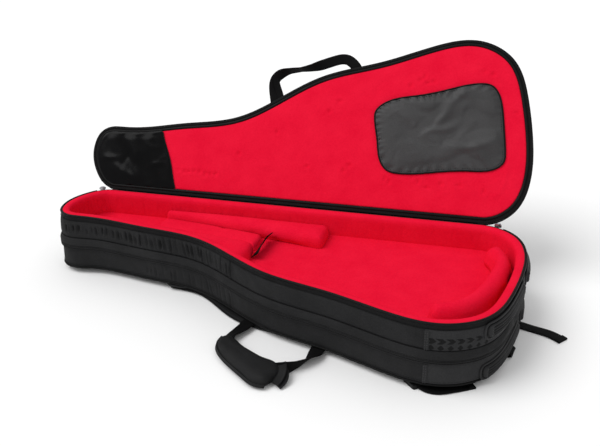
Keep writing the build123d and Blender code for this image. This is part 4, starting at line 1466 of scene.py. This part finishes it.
def build_shoulder_straps():
    """Padded shoulder straps under the bag, with their adjusting webbing."""
    for side, points in STRAPS.items():
        line = spline(points, 4)
        across = leftward(directions(line))
        share = np.linspace(0, 1, len(line))
        half = PAD_HALF - 4 * (share > 0.93) * (share - 0.93) / 0.07
        loop = np.vstack([line + across * half[:, None], (line - across * half[:, None])[::-1]])
        loop = reclosed(loop, 4)
        soft = wrinkles(131 if side == "near" else 132, 26, (-230, 240, -130, 200), 26, 7, 0.7)
        body = slab(loop, PAD_LOW, PAD_HIGH, 6, (1.5, 4, 8), top=lambda x, y, d: dome(d, 4),
                    bottom=lambda x, y, d: -dome(d, 4) - soft(x, y) * np.clip(d / 12, 0, 1) * 0.3
                    + 1.2 * bump(d, 9, 1.6))
        made = piece(f"shoulder_pad_{side}", body, "strap_pad", "lower_section",
                     [f"shoulder_strap_{side}"])
        rim = raised(shrink(loop, -0.4), PAD_SEAM)
        piece(f"shoulder_pad_piping_{side}", tube(rim, 1.7, 8, closed=True), "piping_black",
              "lower_section")
        web = spline(WEBS[side])
        tail = spline(TAILS[side])
        hem = ribbon(tail[-5:] + np.array([0, 0, 2.0]), np.cross((0, 0, 1), directions(tail)[-5:]), 26,
                     WEB_THICKNESS)
        flat = lambda path: np.cross((0, 0, 1), directions(path))
        bands = merged(ribbon(web, flat(web), WEB_WIDTH, WEB_THICKNESS),
                       ribbon(tail, flat(tail), WEB_WIDTH, WEB_THICKNESS), hem)
        piece(f"strap_web_{side}", bands, "webbing_black", "lower_section", [f"strap_webbing_{side}"])


def build_back_trim():
    low, high = heights("strap_yoke")
    loop = rounded((-212, 84), (59, 139), 14, 0, 4)
    body = slab(loop, low, high, 6, (1.5, 4), bottom=lambda x, y, d: -dome(d, 1.6))
    rows = []
    for inset in (5, 9):
        line = raised(shrink(loop, inset), low - 0.2)
        rows.append(stitches(line, (0, 0, -1)))
    piece("strap_yoke_panel", merged(body, *rows), "nylon_patch", "lower_section", ["strap_yoke"])
    feet = [foot_patch(392, -172, 20, (43, 29), BASE, -1), foot_patch(478, 80, 0, (43, 39), BASE, -1)]
    loops = []
    for x, y, turn in ((360, -182, -45), (446, 84, -14)):
        c, s = math.cos(math.radians(turn)), math.sin(math.radians(turn))
        path = spline([(x - 6 * c, y - 6 * s, 3), (x + 3 * c, y + 3 * s, 7.5),
                       (x + 16 * c, y + 16 * s, BASE - 1.6)])
        loops.append(ribbon(path, (-s, c, 0), 25, 1.8))
    piece("strap_anchor_patches", merged(*feet, *loops), "webbing_black", "lower_section",
          ["strap_anchors"])
    low, high = heights("end_tab")
    path = spline([(504, -54, BASE - 0.5), (516, -56, high - 1), (519, -56.5, 5.5), (515, -56, low + 1),
                   (504, -54, low + 2)], 1.5)
    tab = ribbon(path, np.cross((0.17, 0.0, 0.98), (0, 0, 1)) + np.array([0.17, 1, 0]), 32, 1.8)
    piece("end_tab_loop", tab, "webbing_black", "lower_section", ["end_tab"])
    for side in ("near", "far"):
        node = frame["nodes"][f"ladder_lock_{side}"]
        bevel = node.modifiers.new("Bevel", "BEVEL")
        bevel.width, bevel.segments = 0.8 * MM, 2
        node.data.materials.clear()
        node.data.materials.append(FINISH["buckle_plastic"])


# ---- zip sliders -----------------------------------------------------------------------
def slider_shape():
    """Zip slider about its middle: length along x, its pull's bridge towards +y, height z."""
    loop = np.array([(-5, -2.0), (-3, -3.1), (2, -2.8), (5, -2.0), (5, 2.0), (2, 2.8), (-3, 3.1),
                     (-5, 2.0)])
    loop = spline(loop, 1.0, closed=True)
    plates = []
    for low, high in ((-2.5, -1.1), (0.9, 2.3)):
        points, faces = slab(loop, low, high, 2, (0.5,), lambda x, y, d: dome(d, 0.5))
        plates.append((points[:, [0, 2, 1]], faces))
    neck = block((0, 0, 0), (2.6, 3.6, 5), 0.8)
    bridge = tube(spline([(-3.6, 2.0, 0), (-2.8, 3.6, 0), (0, 4.2, 0), (2.8, 3.6, 0), (3.6, 2.0, 0)],
                         0.7), 0.7, 8)
    return merged(*plates, neck, bridge)


def pull_shape():
    """Hanging pull from its top ring: a cord loop into a moulded tip."""
    turns = np.linspace(0, 2 * math.pi, 15)[:-1]
    ring = tube([(2.2 * math.cos(a), 0, -1.4 + 2.0 * math.sin(a)) for a in turns], 0.55, 6, closed=True,
                normal=(0, 1, 0))
    cords = []
    for side in (-1, 1):
        cords.append(tube(spline([(side * 0.8, 0, -3.2), (side * 1.5, 0, -7), (side * 1.3, 0, -12)], 1),
                          0.8, 8,
                          normal=(0, 1, 0)))
    points, faces = slab(rounded((0, -21), (6.4, 17), 2.6, step=1.2), -0.9, 0.9, 2, (0.5, 1.2),
                         lambda x, y, d: dome(d, 0.9) - 0.35 * (np.sin(y * 2.6) > 0.3) * (d > 1.2),
                         lambda x, y, d: -dome(d, 0.9))
    tip = points[:, [0, 2, 1]]
    return ring, merged(*cords, (tip, faces))


SLIDER_SCALE = 1.35


def build_sliders():
    body = slider_shape()
    ring, cord = pull_shape()
    for name in ("rim_slider_bout", "rim_slider_head", "mid_slider"):
        low, high = [np.array(corner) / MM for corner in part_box(name)]
        middle = (low + high) / 2
        move = lambda points, middle=middle: SLIDER_SCALE * points + middle + np.array([0, 1.2, 0.6])
        piece(name + "_metal", body, "zip_metal", name, [name], place=move)
        low, high = [np.array(corner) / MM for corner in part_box(name + "_pull")]
        top = np.array([(low[0] + high[0]) / 2, (low[1] + high[1]) / 2, high[2] + 0.5])
        hang = lambda points, top=top: points + top
        piece(name + "_pull_tip", cord, "pull_cord", name + "_pull", [name + "_pull"], place=hang)
        piece(name + "_pull_ring", ring, "zip_metal", name + "_pull", place=hang)
    spot = lid_plan("pocket_slider")
    middle = (spot.min(0) + spot.max(0)) / 2
    flat = lambda points: on_lid(points[:, [0, 2, 1]] * np.array([1.3, 1.3, 0.8]) + middle)
    piece("pocket_slider_metal", body, "zip_metal", "pocket_slider", ["pocket_slider"], place=flat)
    spot = lid_plan("pocket_slider_pull")
    top = np.array([spot[:, 0].mean(), spot[:, 1].min() - 0.5, spot[:, 2].mean()])
    lay = lambda points: on_lid(np.column_stack([points[:, 0], -points[:, 2], points[:, 1]]) + top)
    piece("pocket_slider_pull_tip", cord, "pull_cord", "pocket_slider_pull", ["pocket_slider_pull"],
          place=lay)
    piece("pocket_slider_pull_ring", ring, "zip_metal", "pocket_slider_pull", place=lay)


# ---- studio ----------------------------------------------------------------------------
def build_floor():
    mesh = bpy.data.meshes.new("floor")
    reach = FLOOR_REACH
    mesh.from_pydata([(-reach, -reach, 0), (reach, -reach, 0), (reach, reach, 0), (-reach, reach, 0)],
                     [], [(0, 1, 2, 3)])
    floor = bpy.data.objects.new("floor", mesh)
    bpy.context.scene.collection.objects.link(floor)
    paint = Nodes("floor_paint")
    paint.shader.inputs["Base Color"].default_value = (0.94, 0.94, 0.94, 1)
    paint.shader.inputs["Roughness"].default_value = 0.9
    paint.shader.inputs["Specular IOR Level"].default_value = 0.1
    mesh.materials.append(paint.material)


def build_light():
    """White room light with one soft sun from the upper left."""
    world = bpy.data.worlds.new("studio")
    world.use_nodes = True
    world.node_tree.nodes["Background"].inputs["Color"].default_value = (1, 1, 1, 1)
    world.node_tree.nodes["Background"].inputs["Strength"].default_value = ROOM_LIGHT
    bpy.context.scene.world = world
    lamp = bpy.data.lights.new("lamp", "SUN")
    lamp.energy = SUN_STRENGTH
    lamp.angle = math.radians(SUN_SPREAD)
    obj = bpy.data.objects.new("lamp", lamp)
    bpy.context.scene.collection.objects.link(obj)
    obj.rotation_mode = "QUATERNION"
    obj.rotation_quaternion = Vector(SUN_FROM).to_track_quat("Z", "Y")


ROOM_LIGHT = 0.74
SUN_STRENGTH, SUN_SPREAD = 1.5, 40  # the wide spread keeps shadows soft
SUN_FROM = (-0.5, -0.25, 0.83)
FLOOR_REACH = 12.0
CAMERA_PLACE = (463.6, -1341.5, 881.1)
CAMERA_AZIMUTH, CAMERA_ELEVATION, CAMERA_ROLL = 15.94, 25.71, 1.34
CAMERA_LENS = 45.99


def build_camera():
    azimuth, elevation, roll = map(math.radians, (CAMERA_AZIMUTH, CAMERA_ELEVATION, CAMERA_ROLL))
    back = Vector((math.sin(azimuth) * math.cos(elevation), -math.cos(azimuth) * math.cos(elevation),
                   math.sin(elevation)))
    level = Vector((0, 0, 1)).cross(back).normalized()
    above = back.cross(level)
    right = math.cos(roll) * level - math.sin(roll) * above
    up = math.sin(roll) * level + math.cos(roll) * above
    data = bpy.data.cameras.new("camera")
    data.lens = CAMERA_LENS
    data.sensor_width = 36
    camera = bpy.data.objects.new("camera", data)
    bpy.context.scene.collection.objects.link(camera)
    rotation = Matrix((right, up, back)).transposed().to_4x4()
    camera.matrix_world = Matrix.Translation(Vector(CAMERA_PLACE) * MM) @ rotation
    bpy.context.scene.camera = camera


build_camera()
build_lower_shell()
build_lower_trim()
build_bout()
build_upper_shell()
build_wall_lining()
build_upper_trim()
build_mid_flap()
build_cradles()
build_neck_strap()
build_cushion()
build_hinges()
build_lid_shell()
build_lid_border()
build_lid_lining()
build_headstock_guard()
build_bridge_guard()
build_front_pocket()
build_carry_handle()
build_lid_handle()
build_back_pads()
build_shoulder_straps()
build_back_trim()
build_sliders()
build_floor()
build_light()
bpy.context.scene.view_settings.view_transform = "Standard"
